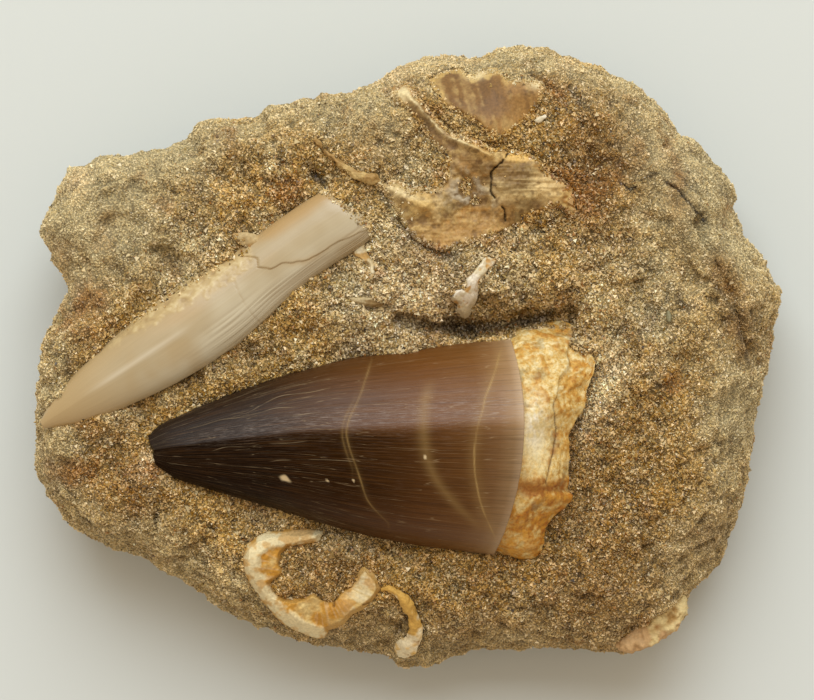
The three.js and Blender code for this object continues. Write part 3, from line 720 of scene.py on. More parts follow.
root_relief = on_root * from_rim * (
    roughness * (0.16 * spongy + 0.14 * specks + (0.3 + 0.7 * fibrous) * (0.13 * fibres + 0.13 * fine_fibres))
    + 0.5 * bell(x - 15.4, 2.2) * bell(y + 24.6, 1.8)  # the golden nodule
    - 0.5 * bell(y + 17.8, 0.7) * fade(x, 14, 17)  # the break under the smooth band
    - LOBE_DROP * lobe
    + 0.5 * fade(y, -1, 2.5)  # the raised upper edge
    - 0.3 * crack
)
print_relief("root", root_relief)

# %% Colours of the root
CREAM, WARM_CREAM, GOLD, RUST = "#e4d29e", "#d5ba7a", "#c9983a", "#a06a22"


def painted(ground, coats):
    """A ground colour with coats over it in turn, each a hex colour and a share, 0 to 1, at each point.

    The ground is a hex colour too, or colours that are painted already.
    """
    colours = np.array(linear(ground)[:3]) if isinstance(ground, str) else ground
    for colour, share in coats:
        colours = colours + (np.array(linear(colour)[:3]) - colours) * np.clip(share, 0, 1)[..., None]
    return colours


patches = rough_noise(tooth + 40, 1.1, 24, 4)
stain = patches + 0.6 * fibres * fibrous + 0.6 * specks
lower = fade(-y, 15.2, 17)
under_step = fade(past_step, -0.9, -0.2) * fade(-past_step, -0.6, 0) * fade(y, -18, -16)
bone = painted(WARM_CREAM, [
    (GOLD, fade(stain + 0.3 * lobe + 0.1 * fibrous - 0.8 * smooth_band, -0.1, 0.5) * 0.8),
    ("#bd841b", lower * fade(patches + 0.6 * specks, -0.8, 0.2) * 0.95),
    (CREAM, fade(fine_fibres + 0.5 * fibres - 0.5 * stain, 0.15, 0.6) * (0.4 + 0.5 * fibrous - 0.3 * lower)),
    (CREAM, smooth_band * 1.1 + 0.3 * smooth_band * patches),
    ("#f6efda", bell(x - 16.8, 1.3) * bell(y + 8.8, 3) * fade(patches, -0.6, 0.1) * 0.9),
    (RUST, lower * fade(bell(y + 17.6, 1.3) + 0.7 * specks, 0.45, 1.0) * fade(-y, -19.5, -18)),
    (RUST, fade(specks + 0.5 * patches - 0.6 * smooth_band, 0.45, 0.9) * (0.45 + 0.35 * lower)),
    ("#9c8a60", fade(-spongy - 0.4 * smooth_band - lobe + 0.3 * specks, 0.55, 0.85) * 0.55),
    (CREAM, bell(x - 15.6, 1.7) * bell(y + 25, 1.0) * fade(specks, -0.3, 0.4) * 0.5),
    ("#d9a746", bell(x - 14.5, 2.4) * bell(y + 25, 2.2) * fade(patches, -0.5, 0.3) * 0.6),
    (WARM_CREAM, bell(x - 14.7, 1) * bell(y + 18.6, 0.9) * 0.9),
    (RUST, under_step * fade(stain, -0.4, 0.3) * 0.7),
    # The crack is dark, and the low spots of the relief, apart from the lobe's drop, get painted shade.
    ("#63401e", np.maximum(0.8 * crack, fade(-root_relief - LOBE_DROP * lobe, 0.35, 0.8) * 0.6)),
])

# %% The tooth's mesh
tooth_mesh = tube_mesh("mosasaur_tooth_surface", relieved(tooth, crown_relief + root_relief), {
    "flow": flow, "along": share_all, "growth": growth, "hair_off": hair_off, "hair_there": hair_there,
    "pale": pale, "dark": dark, "worn": worn, "bone": bone, "stained": 0.85 - 0.7 * smooth_band,
})

# %% [markdown]
# ## Two finishes on one tooth
#
# ** Fossil enamel** took up iron and manganese in the phosphate bed: it is nearly black at the tip and
# coffee brown at the base, with a pale rim where it thins out. It is dense and still softly polished, so a
# broad sheen lies along the keel. Grey specks paint more of that sheen, and shade is painted past the keel.
# **Root bone** is porous and dull, cream to rusty gold. Both could be painted as images, but noise drawn
# out along the growth, over values stored on the points, stays sharp at any size.

# %% Enamel
enamel, enamel_shader = new_material("polished_brown_fossil_enamel")
stored = {
    name: add_node(enamel, "Attribute", attribute_name=name).outputs["Fac"]
    for name in ("along", "growth", "hair_off", "hair_there", "pale", "dark", "worn")
}
flow_node = add_node(enamel, "Attribute", attribute_name="flow")

# Three noises are drawn out along the crown: streaks 11 mm long and 0.2 mm wide, as the enamel's ribs are,
# specks in them that paint a grey sheen along the keel, and a slow one for the finest cracks. Each scale
# says how many lie on a millimetre.
streak, speck, slow = (
    add_node(enamel, "TexNoise", {
        "Vector": add_node(enamel, "Mapping", {"Vector": flow_node, "Scale": scale}),
        "Scale": 1.0, "Detail": detail, "Roughness": roughness,
    })
    for scale, detail, roughness in [((0.09, 5, 1), 5, 0.7), ((0.5, 9, 1), 3, 0.7), ((0.045, 0.9, 1), 3, 0.4)]
)
ground = add_node(enamel, "ValToRGB", {"Fac": stored["along"]}, stops=[
    (0.0, "#160e0a"), (0.3, "#25160a"), (0.55, "#51300e"), (0.75, "#643c12"), (0.88, "#6e471d"),
    (0.935, "#7f5b35"), (0.975, "#95754f"), (1.0, "#b39774"),
])
streak_share = add_node(enamel, "MapRange", {"Value": streak}, ends=(0.5, 0.8, 0, 0.34))
streak_dark = add_node(enamel, "MapRange", {"Value": streak}, ends=(0.36, 0.5, 0.72, 1))
speck_share = add_node(enamel, "MapRange", {"Value": speck}, ends=(0.5, 0.72, 0, 0.5))
sheen_specks = add_node(enamel, "Math", {0: speck_share, 1: stored["worn"]}, operation="MULTIPLY")

# %% Cracks of the enamel
# The finest cracks run where the slow noise passes its middle value.
off_middle = add_node(enamel, "Math", {0: slow, 1: 0.5}, operation="SUBTRACT")
thread_distance = add_node(enamel, "Math", {0: off_middle}, operation="ABSOLUTE")
thread = add_node(enamel, "MapRange", {"Value": thread_distance}, ends=(0, 0.007, 0.2, 0))
thread_part = add_node(enamel, "MapRange", {"Value": streak}, ends=(0.38, 0.5))
thread_there = add_node(enamel, "Math", {0: thread, 1: thread_part}, operation="MULTIPLY")
hair_distance = add_node(enamel, "Math", {0: stored["hair_off"]}, operation="ABSOLUTE")
hair_line = add_node(enamel, "MapRange", {"Value": hair_distance}, ends=(0.01, 0.07, 0.26, 0))
hair = add_node(enamel, "Math", {0: hair_line, 1: stored["hair_there"]}, operation="MULTIPLY")
thin_cracks = add_node(enamel, "Math", {0: thread_there, 1: hair}, operation="MAXIMUM")
all_cracks = add_node(enamel, "Math", {0: thin_cracks, 1: stored["pale"]}, operation="MAXIMUM")

# %% The enamel's colour, gloss and ribs
colour = ground
# The first coat paints shade on the enamel past the keel, and the grey specks paint a sheen above it.
for share, over, blend in [
    (stored["dark"], linear("#150a03"), "MIX"), (1.0, streak_dark, "MULTIPLY"),
    (streak_share, linear("#865c30"), "MIX"), (sheen_specks, linear("#a3968a"), "MIX"),
    (stored["growth"], linear("#a88a54"), "MIX"), (all_cracks, linear("#c9b38a"), "MIX"),
]:
    colour = add_node(enamel, "Mix", {MIX_FACTOR: share, MIX_A: colour, MIX_B: over}, data_type="RGBA",
                      blend_type=blend)
fill(enamel_shader, {
    "Base Color": colour,
    "Roughness": add_node(enamel, "MapRange", {"Value": streak}, ends=(0.3, 0.7, 0.32, 0.48)),
    "Specular IOR Level": add_node(enamel, "MapRange", {"Value": stored["dark"]}, ends=(0, 0.75, 0.27, 0.02)),
    "Normal": add_node(enamel, "Bump", {"Strength": 0.5, "Distance": 0.06 * MM, "Height": streak}),
})
print("nodes in the enamel:", len(enamel.node_tree.nodes))


# %% Root bone
def shade_and_dent(material, shader, attribute, light, height, strength, depth):
    """Shows stored colours times a light, and dents the surface by a height, at most `depth` mm.

    Returns the node with the shaded colours.
    """
    colours = add_node(material, "Attribute", attribute_name=attribute)
    shaded = add_node(material, "Mix", {MIX_FACTOR: 1.0, MIX_A: colours, MIX_B: light}, data_type="RGBA",
                      blend_type="MULTIPLY")
    dents = add_node(material, "Bump", {"Strength": strength, "Distance": depth * MM, "Height": height})
    fill(shader, {"Base Color": shaded, "Normal": dents})
    return shaded


def bone_material(name, pores_per_metre, lights, roughness, specular=0.25, dents=(0.4, 0.1)):
    """Matt bone: the stored colours times pores of noise, from dark to light, which also dent it.

    Returns the material, and its shader, place and shaded colours for what else it needs.
    """
    material, shader = new_material(name)
    place = add_node(material, "TexCoord").outputs["Object"]
    pores = add_node(material, "TexNoise", {"Vector": place, "Scale": pores_per_metre, "Detail": 3.0})
    light = add_node(material, "MapRange", {"Value": pores}, ends=(0.35, 0.65, *lights))
    shaded = shade_and_dent(material, shader, "bone", light, pores, *dents)
    fill(shader, {"Roughness": roughness, "Specular IOR Level": specular})
    return material, shader, place, shaded


# Real pores are about 0.2 mm wide. These are 0.4 mm, as coarse as they need to be to show.
root_bone, root_shader, place, pored = bone_material(
    "porous_cream_fossil_bone", 2600.0, (0.84, 1.06), 0.7, 0.5, (0.5, 0.12),
)
# Iron has stained it in flecks of about 0.7 mm.
fleck_noise = add_node(root_bone, "TexNoise", {
    "Vector": place, "Scale": 1500.0, "Detail": 6.0, "Roughness": 0.75,
})
fleck_tone = add_node(root_bone, "ValToRGB", {"Fac": fleck_noise}, stops=[
    (0.34, "#cfa454"), (0.45, "#eed694"), (0.54, "#ffffff"),
])
stained = add_node(root_bone, "Attribute", attribute_name="stained").outputs["Fac"]
flecked = add_node(root_bone, "Mix", {MIX_FACTOR: stained, MIX_A: pored, MIX_B: fleck_tone}, data_type="RGBA",
                   blend_type="MULTIPLY")
fill(root_shader, {"Base Color": flecked})

add_piece(tooth_mesh, enamel, "mosasaur_tooth")
tooth_mesh.materials.append(root_bone)
face_kind = np.concatenate([np.repeat(row_kind[:-1], len(angles)), np.repeat([0, 4], len(angles))])
tooth_mesh.polygons.foreach_set("material_index", (face_kind >= 2).astype(np.int32))

# %% [markdown]
# ## The fish fang
#
# The fang is a long, slim, slightly bent cone of cream enamel. It has a low keel along its upper side near
# the tip and fine ribs along its lower side near the base. The base is cracked, and one fragment has risen.
# A path with a swelling tube round it is the simplest true description, so the rings follow the fang's
# axis, and the fragment is the part of each ring beyond the crack, lifted by its step.

# %% The fang's measures
FANG_TIP = (-49.2, -9.2)
FANG_TURN = np.radians(32.6)  # from +X
FANG_LENGTH = 51
FANG_FLATNESS = 0.62  # half height over half width
# By distance along the fang, from the tip.
FANG_HALF_WIDTH = [
    (0, 0.5), (2, 1.5), (4.5, 2.5), (8.4, 3.6), (12, 4.2), (16, 4.85), (21, 5.35), (26, 5.5), (31, 5.2),
    (36, 4.7), (43, 4.6), (47.5, 4.6), (49.8, 4.4), (50.6, 3.7), (51, 2.6),
]
FANG_SHIFT = [(0, 0), (12, 0), (24, 0.25), (30, 0.45), (36, 1), (43, 1.5), (51, 1.6)]
FANG_AXIS_Z = [(0, 23.7), (4, 24), (8, 24.2), (18, 24.5), (30, 24.7), (51, 25.6)]
FANG_KEEL = [(0, 0.12), (20, 0.06), (34, 0.02), (51, 0.02)]
FANG_END_SLANT = 1.3  # mm that its base is out of square
FANG_MEAN_RADIUS = 5
# The edge of the risen fragment, as (distance along the fang, distance across it).
FRAGMENT_EDGE = [
    (35.3, 9), (35.6, 5.9), (35.1, 4.5), (36.7, 3.1), (36, 2), (37.4, 0.9), (39.1, 0.7), (41.5, -0.6),
    (43.3, -0.9), (46.1, -0.9), (49, -1.3), (51.5, -1.7),
]
FRAGMENT_RISE = 0.14
FANG_CRACK = [(32.5, 2.6), (32.2, 1.1), (32, -1), (32.1, -3.3), (32.3, -4.7)]
FANG_ROWS = 300


# %% Distances to paths and outlines
def distance_to(path, points):
    """How far (x, y) points are from a path, in mm: from the nearest place on any of its straight steps."""
    path = np.asarray(path, float)
    nearest = np.full(points.shape[:-1], np.inf)
    for begin, step in zip(path, np.diff(path, axis=0)):
        share = np.clip((points - begin) @ step / (step @ step), 0, 1)
        nearest = np.minimum(nearest, np.linalg.norm(points - begin - share[..., None] * step, axis=-1))
    return nearest


def depth_inside(points, outline):
    """How deep (x, y) points lie inside an outline, in mm: above 0 inside, below 0 outside.

    A point is inside if a line from it towards +X crosses the outline an odd number of times.
    """
    x, y = points[..., 0], points[..., 1]
    closed = np.asarray([*outline, outline[0]], float)
    inside = np.zeros(x.shape, bool)
    for (x0, y0), (x1, y1) in zip(closed[:-1], closed[1:]):
        crosses = (y0 > y) != (y1 > y)
        rise = y1 - y0 if y1 != y0 else 1e-9
        inside ^= crosses & (x < x0 + (x1 - x0) * (y - y0) / rise)
    distance = distance_to(closed, points)
    return np.where(inside, distance, -distance)


# %% The fang's surface
def fang_surface(along, angle):
    """Points of the fang, and how far along and across its straight line each of them lies.

    The section is an ellipse round its bent axis, with a keel on top that fades towards the base.
    """
    keel = 1 + smooth_line(FANG_KEEL, along) * np.exp(-np.abs(angle - np.pi / 2) / 0.45)
    half_width = smooth_line(FANG_HALF_WIDTH, along) * keel
    across = smooth_line(FANG_SHIFT, along) + half_width * np.cos(angle)
    reach = along - FANG_END_SLANT * (along / FANG_LENGTH) ** 4 * np.cos(angle)
    points = np.stack([
        FANG_TIP[0] + reach * np.cos(FANG_TURN) - across * np.sin(FANG_TURN),
        FANG_TIP[1] + reach * np.sin(FANG_TURN) + across * np.cos(FANG_TURN),
        smooth_line(FANG_AXIS_Z, along) + half_width * FANG_FLATNESS * np.sin(angle),
    ], axis=-1)
    return points, reach, across


# %% The fang's relief
fang_along, fang_angle = np.meshgrid(np.linspace(0, FANG_LENGTH, FANG_ROWS), angles, indexing="ij")
fang, reach, across = fang_surface(fang_along, fang_angle)
place = np.stack([reach, across], axis=-1)
is_top = fade(np.sin(fang_angle), -0.1, 0.25)

inside_fragment = depth_inside(place, [*FRAGMENT_EDGE, (60, -1.5), (60, 9)])
inside_fragment += 0.12 * smooth_noise(fang, 0.9, 31)
fang_crack = bell(distance_to(FANG_CRACK, place), 0.09) * np.clip(0.8 + smooth_noise(fang, 1.1, 32), 0, 1)
ribbed = fade(reach, 20, 34) * fade(-across, 0.2, 1.6)
fang_flow = np.stack([reach, FANG_MEAN_RADIUS * fang_angle, 0 * reach], axis=-1)
rib_noise = smooth_noise(fang_flow / [14, 0.42, 1], 1, 33)
fine_ribs = smooth_noise(fang_flow / [7, 0.2, 1], 1, 34)

# Along the upper side the enamel has flaked off, and pale sand is caked on.
cake_grain = rough_noise(fang, 0.7, 36)
cake_edge = across + 0.6 * smooth_noise(fang, 2.2, 35) + 0.3 * cake_grain + 0.9 * bell(reach - 30.5, 6.5)
caked = fade(reach, 9, 20) * fade(-reach, -37, -35.4) * fade(cake_edge, 2.9, 3.7) * is_top
step_patches = fade(smooth_noise(fang, 1.6, 39), -0.7, 0.1)
step_edge = bell(inside_fragment + 0.1 * cake_grain, 0.07) * step_patches * is_top
fang_relief = (
    0.04 * smooth_noise(fang, 4, 37)
    + ribbed * (0.035 * rib_noise + 0.04 * fine_ribs)
    + 0.004 * fine_ribs
    - 0.06 * fang_crack * is_top
    - 0.05 * step_edge
    + caked * 0.05 * cake_grain
)
print_relief("fang", fang_relief)
fang_rings = relieved(fang, fang_relief)
fang_rings[..., 2] += FRAGMENT_RISE * fade(inside_fragment, -0.04, 0.12) * is_top

# %% The fang's colours
FANG_GOLD, FANG_PAINTED_SHADE = "#b0925f", "#8a7048"
cloudy = rough_noise(fang, 6, 38)
fang_tint = painted("#ae9c78", [
    ("#c4b99c", fade(cloudy - 0.25 * across, -0.7, 0.9) * fade(reach, 8, 24)),
    (FANG_GOLD, 0.65 * fade(-reach, -17, -1) + 0.25 * fade(-cloudy, 0.2, 0.9)),
    (FANG_GOLD, 0.35 * fade(across, 0.8, 3.6) * fade(cloudy + 0.6, -0.4, 0.6) * fade(-reach, -37, -34)),
    (FANG_GOLD, 0.6 * bell(reach - 24, 3.5) * bell(across - 2.2, 1.1)),
    # A highlight is painted in a pale line along the keel.
    ("#d6ccb4", 0.4 * bell(across - 0.2, 0.4) * fade(reach, 6, 13) * fade(-reach, -27, -19)),
    # Shade is painted in the grooves between the ribs.
    (FANG_PAINTED_SHADE, ribbed * fade(-0.6 * rib_noise - 0.8 * fine_ribs, 0, 0.8) * 0.5),
    ("#b9a06c", caked * (0.7 + 0.4 * cake_grain)),
    ("#d3c294", caked * fade(cake_grain, 0.1, 0.7) * 0.5),
    ("#94774a", caked * fade(-cake_grain, 0.2, 0.8) * 0.5),
    # Shade is painted on the lower side of the base, which faces away from the window.
    (FANG_PAINTED_SHADE, 0.4 * fade(reach, 34, 42) * fade(-across, 0.3, 2.8)),
    ("#b08a50", 0.6 * fade(across + 0.6 * cloudy, 3.6, 5.2) * fade(reach, 36, 40)),
    (FANG_GOLD, bell(inside_fragment, 0.5) * is_top * fade(cloudy, -0.3, 0.5) * 0.5),
    ("#94703c", step_edge * 0.6 * fade(-reach, -50, -44) + 0.3 * fang_crack * is_top),
])
fang_mesh = tube_mesh("fish_fang_surface", fang_rings, {"tint": fang_tint, "flow": fang_flow})

# %% Cream enamel
# The fish's enamel took up less iron. It is as dense as the tooth's, so it shines softly too.
fang_enamel, fang_shader = new_material("polished_cream_fossil_enamel")
flow_node = add_node(fang_enamel, "Attribute", attribute_name="flow")
# Growth streaks about 0.25 mm wide and 6 mm long.
streak_place = add_node(fang_enamel, "Mapping", {"Vector": flow_node, "Scale": (0.17, 4, 1)})
streak = add_node(fang_enamel, "TexNoise", {"Vector": streak_place, "Scale": 1.0, "Detail": 3.0})
streak_light = add_node(fang_enamel, "MapRange", {"Value": streak}, ends=(0.3, 0.7, 0.96, 1.03))
shade_and_dent(fang_enamel, fang_shader, "tint", streak_light, streak, 0.15, 0.04)
fill(fang_shader, {"Roughness": 0.33})
add_piece(fang_mesh, fang_enamel, "fish_fang")

# %% [markdown]
# ## Bones that lie flush in the sand
#
# The fish bone, the skull plate and the broken vertebra lie almost flush in the sand, each with an outline
# of its own. Such a bone could be sculpted, but it is nearly a relief seen from above, so it is made as one:
# a fine grid inside the outline, lifted over the sand by a height that dives under at the outline. The
# lattice goes on a little way beyond it, buried, and closes over its underside.

# %% A relief on the sand
BONE_STEP, RING_STEP, FLAKE_STEP = 0.12, 0.1, 0.09  # mm from point to point
LEAST_THICKNESS = 0.3


def relief_lattice(outline, step, skirt=0.8):
    """Lattice points, with z = 0, over an outline's box and a skirt round it."""
    low, high = np.min(outline, axis=0) - skirt - step, np.max(outline, axis=0) + skirt + step
    x, y = np.meshgrid(np.arange(low[0], high[0], step), np.arange(low[1], high[1], step), indexing="ij")
    return np.stack([x, y, 0 * x], axis=-1)


def way_along(path):
    """How far along a path each of its points lies."""
    return np.concatenate([[0], np.cumsum(np.linalg.norm(np.diff(path, axis=0), axis=1))])


def smooth_outline(corners, spacing=0.35):
    """A closed outline through corners, rounded: x and y are smooth lines over the length of the way."""
    ring = np.asarray([*corners[-3:], *corners, *corners[:3]], float)
    at = way_along(ring)
    place = np.arange(at[3], at[-3], spacing)
    return np.stack([smooth_line(np.stack([at, axis], axis=1), place) for axis in ring.T], axis=1)


def edge_profile(inset, rise, width):
    """A rounded edge: a slope of 1.5 under the sand outside, and a quarter ellipse up to its rise inside."""
    t = np.clip(inset / width, 0, 1)
    return np.where(inset < 0, 1.5 * inset, rise * np.sqrt(1 - (1 - t) ** 2))


# %% A closed piece from a relief
def add_relief(node, points, inset, height, colours, depth, material, skirt=0.7):
    """Adds a closed piece: a lattice lifted over the sand where inset > -skirt, walls, and an underside.

    Its underside lies at a depth below the sand, and has the colours of the points above it.
    """
    x, y, _ = np.moveaxis(points, 2, 0)
    sand = sand_height(x, y)
    near = inset > -skirt
    i, j = np.nonzero(near[:-1, :-1] & near[1:, :-1] & near[:-1, 1:] & near[1:, 1:])
    corners = [(i, j), (i + 1, j), (i + 1, j + 1), (i, j + 1)]
    used = np.zeros(x.shape, bool)
    for corner in corners:
        used[corner] = True
    count = used.sum()
    number = np.zeros(x.shape, int)
    number[used] = np.arange(count)
    top = np.stack([number[corner] for corner in corners], axis=1)
    # Each side of a kept cell that has no kept neighbour gets a wall: the cell's step, then its two corners.
    kept = np.zeros((x.shape[0] + 1, x.shape[1] + 1), bool)
    kept[i + 1, j + 1] = True
    walls = []
    for (step_i, step_j), first, second in [((0, -1), 0, 1), ((1, 0), 1, 2), ((0, 1), 2, 3), ((-1, 0), 3, 0)]:
        open_side = ~kept[i + 1 + step_i, j + 1 + step_j]
        a, b = top[open_side, first], top[open_side, second]
        walls.append(np.stack([b, a, a + count, b + count], axis=1))
    lifted = sand + height
    underside = np.minimum(sand - depth, lifted - LEAST_THICKNESS)
    sheets = [np.stack([x, y, z], axis=-1)[used] for z in (lifted, underside)]
    quads = np.concatenate([top, top[:, ::-1] + count, *walls])
    mesh = make_mesh(f"{node}_surface", np.concatenate(sheets), quads)
    add_values(mesh, "bone", np.tile(colours[used], (2, 1)))
    add_piece(mesh, material, node)


# %% [markdown]
# ## The fish bone
#
# It is one thin, folded bone: a sharp crest runs down from its head and widens into a knuckle, a lobe goes
# off to the right, a hook curls up on the left, and a rough saddle joins the three. Its folds could be
# sculpted one by one. Here each is a ridge along a measured path, with a bell curve as its section, so one
# number moves or sharpens it.

# %% The fish bone's outline and ridges
FISH_BONE = [
    (-2, 35.2), (-1.2, 36), (-0.3, 36.4), (0.4, 35.5), (0.9, 34.4), (1.9, 33.6), (2.8, 32.6), (3.9, 31.4),
    (4.8, 30.3), (5.7, 29.6), (7.2, 29.2), (8.6, 28.6), (10.2, 27.7), (11.6, 27.3), (13.3, 27.2), (15, 27),
    (16.6, 26.4), (17.6, 25.7), (17.8, 24.7), (19, 24.2), (20.6, 23.7), (21.8, 22.5), (22.2, 21.4),
    (22.1, 20.3), (20.4, 20.1), (19, 19.9), (17.8, 19.4), (16.4, 19), (15.6, 18.2), (14.8, 17.4),
    (12.9, 16.6), (11.3, 15.9), (9.7, 15.5), (7.7, 15.1), (6, 14.6), (5.2, 14.3), (3.9, 14.9), (2.4, 15.3),
    (1.1, 16.2), (0, 17), (-0.9, 18.6), (-1.6, 19.9), (-2.5, 21.3), (-3.2, 22.2), (-2.8, 23), (-1.9, 23.6),
    (-1.1, 23.6), (0.1, 22.8), (1.7, 22.4), (3.3, 22.6), (4.8, 23), (5.2, 24.1), (5.5, 25.3), (5.6, 26.5),
    (4.8, 27.6), (3.5, 28.9), (2.3, 30.4), (1.2, 31.9), (0.4, 33), (-0.2, 33.6), (-1.1, 34.2),
]
CREST = [
    (-1.2, 35.3), (0, 34.9), (0.8, 33.9), (1.8, 33), (2.9, 31.8), (4.3, 30.2), (5.6, 29.2), (7.2, 28.6),
    (9.3, 27.6), (11, 26.7),
]
KNUCKLE = [(9.6, 26.2), (11.7, 25.8), (14.4, 25.6), (16.4, 25.1)]
LOBE = [(12.5, 22.4), (15, 22.6), (18.4, 22.5), (20.4, 21.6)]
HOOK = [(-2.8, 22.5), (-1.6, 21.9), (0.4, 20.9), (2.4, 20.1)]
BELLY = [(3.5, 16.3), (6, 16.8), (8.5, 17.2), (12.4, 17.9)]
SPUR = [(18.6, 20.6), (20.5, 20.5), (22.3, 19.3)]
BONE_CRACKS = [
    [(13.4, 27.2), (12.6, 25.9), (11.7, 25.2), (11.1, 24), (11.3, 23.2), (11.2, 22.2), (11.7, 21.2)],
    [(12.8, 20.1), (13, 19.4), (13.2, 18.4)],
]

# %% The fish bone's height
points = relief_lattice(FISH_BONE, BONE_STEP)
x, y, _ = np.moveaxis(points, 2, 0)
place = points[..., :2]
inset = depth_inside(place, smooth_outline(FISH_BONE))
inset = np.maximum(inset, 0.45 - distance_to(SPUR, place)) + 0.22 * rough_noise(points, 1.6, 41)
crest_distance, hook_distance = distance_to(CREST, place), distance_to(HOOK, place)
crest, slope, hook = bell(crest_distance, 0.45), bell(crest_distance, 1.9), bell(hook_distance, 0.75)
knuckle, lobe, belly = (
    bell(distance_to(path, place), width) for path, width in [(KNUCKLE, 2.1), (LOBE, 1.7), (BELLY, 1.6)]
)
jagged = place + 0.16 * np.stack([rough_noise(points, 0.7, seed, 2) for seed in (42, 40)], axis=-1)
cracks = np.maximum(*(bell(distance_to(path, jagged), 0.12) for path in BONE_CRACKS))
cracks *= fade(rough_noise(points, 1.3, 42) + 0.9, -0.2, 0.3)
lines = rough_noise(points / [4, 0.42, 1], 1, 43, 2)
fine_lines = rough_noise(points / [2.5, 0.2, 1], 1, 44, 2)
lined_part = np.clip(knuckle * fade(-y, -26, -25.2) + 0.7 * lobe, 0, 1)
saddle = bell(x - 8.5, 4.2) * bell(y - 21.8, 3.2)
crumbly = rough_noise(points, 0.9, 49)
lichen = rough_noise(points, 1.3, 45)

height = edge_profile(inset, 0.45, 0.8)
height += 1.4 * crest * fade(x, -2, 1.5) + 0.5 * slope + 1.15 * knuckle
height += 0.85 * lobe + 0.85 * hook + 0.5 * belly
height += fade(inset, 0, 0.5) * (
    0.2 * lichen
    + 0.12 * crumbly
    + 0.25 * saddle * lichen
    + lined_part * (0.14 * lines + 0.07 * fine_lines)
    + 0.08 * rough_noise(points, 0.45, 46, 2)
    + 0.03 * fine_lines * (1 - lined_part)
)
height -= 0.12 * saddle + 0.75 * cracks
print_relief("fish bone", height[inset > 0])

# %% The fish bone's colours
GREY_BROWN, PALE_YELLOW, CREST_CREAM, UMBER = "#80684a", "#cfae6c", "#dfcb98", "#6b4f2c"
# Large tones of the knuckle: middle, half sizes, strength and colour. Each is flat inside, with a soft rim.
# The two dark ones are painted shade, in the hollow between knuckle and lobe and under the lobe.
KNUCKLE_TONES_AND_SHADE = [
    (14, 23.8, 2.9, 2, 0.82, "#72542b"), (19, 23.1, 2.4, 1.8, 0.6, "#d8ba82"),
    (15.8, 20.2, 2.4, 0.7, 0.7, "#72542b"), (15, 26.7, 2.6, 0.8, 0.95, "#ddb66a"),
]

mottle = rough_noise(points, 2.6, 47, 4)
fleck = rough_noise(points, 0.7, 48)
plain_part = 0.75 - 0.45 * lined_part
upper_knuckle = knuckle * fade(y, 25.3, 26.2)
bare_edge = bell(inset - 0.3, 0.25) * fade(-x, -9, -2) * fade(-y, -24, -22)
colours = painted("#98753f", [
    ("#98895c", fade(mottle, 0.1, 0.7) * 0.5),
    ("#cdac6c", fade(lichen + 0.7 * crumbly, 0.15, 0.75) * plain_part),
    ("#6f5232", fade(-lichen - 0.7 * crumbly, 0.25, 0.85) * plain_part),
    ("#b57f36", fade(crumbly - 0.6 * mottle, 0.3, 0.8) * 0.5),
    ("#b78f54", belly * 0.6 + fade(-mottle, 0.1, 0.7) * 0.4),
    (GREY_BROWN, saddle * 0.9 * fade(lichen, -0.6, 0.5)),
    ("#b8ab90", saddle * fade(lichen, 0.15, 0.6) * 0.85),
    # Shade is painted on the flank below and left of the crest.
    (GREY_BROWN, slope * fade(-(x - 4.4) - (y - 30.2), -1.5, 1) * 0.9),
    # Painted highlights: on the lobe, which is pale bone as well, and on the knuckle's upper edge.
    ("#e2c88c", lobe * fade(-x, -21.4, -18.5)),
    ("#dcc184", upper_knuckle * fade(-inset, -1.4, -0.3)),
    ("#c08f45", upper_knuckle * fade(mottle, 0, 0.5) * 0.4),
    (UMBER, lined_part * fade(-lines - 0.5 * fine_lines, 0.1, 0.8) * fade(-x, -18.5, -15) * 0.45),
    (UMBER, fade(-0.5 * fine_lines - fleck, 0.5, 1.1) * 0.4),
    ("#c8a86a", fade(0.5 * fine_lines + fleck, 0.4, 1.0) * 0.5),
    (CREST_CREAM, bare_edge * fade(crumbly, -0.4, 0.3) * 0.4),
    (PALE_YELLOW, bell(x - 1.6, 2.6) * bell(y - 20.8, 1.6) * 0.95),
    # Painted highlights on the hook's upper side and along the crest.
    (CREST_CREAM, bell(hook_distance - 0.4, 0.55) * fade(y, 20.3, 21.8) * 0.95),
    (CREST_CREAM, bell(crest_distance, 0.36) * fade(-x, -9.5, -7) * fade(crumbly, -0.9, 0)),
    (CREST_CREAM, bell(x + 0.5, 1.7) * bell(y - 35.1, 1.3)),
    (PALE_YELLOW, fade(x, 18.5, 20) * fade(-fleck, -0.3, 0.3) * 0.8),
    (RUST, fade(x, 19.8, 21.3) * fade(fleck, 0.0, 0.5) * 0.7),
    (RUST, fade(-inset, -0.5, 0) * fade(fleck + mottle, 0, 0.8) * fade(y, 19, 23) * 0.6),
    *[
        (tone, strength * bell(((x - at_x) / half_x) ** 2 + ((y - at_y) / half_y) ** 2, 1)
         * fade(-fine_lines - lines, -2.2, -0.6))
        for at_x, at_y, half_x, half_y, strength, tone in KNUCKLE_TONES_AND_SHADE
    ],
    (UMBER, fade(-fleck, 0.45, 0.9) * 0.5),
    ("#2a1a0c", cracks * 0.95),
])

# %% [markdown]
# ## Dull fossil bone
#
# Fossil bone that lay in sand is matt and finely porous. The ring bone, the slivers and the root are cream.
# The fish's bones are brown and a little denser, so they keep a faint sheen. One recipe serves them all: the
# colours stored on the points, darkened in pores that also dent the surface. That keeps them alike.

# %% Brown bone, from the root's recipe
# Denser bone has finer pores: 0.33 mm, about the finest that show.
brown_bone, *_ = bone_material("dense_brown_fossil_bone", 3000.0, (0.82, 1.08), 0.55)
add_relief("fish_bone", points, inset, height, colours, 1.6, brown_bone)

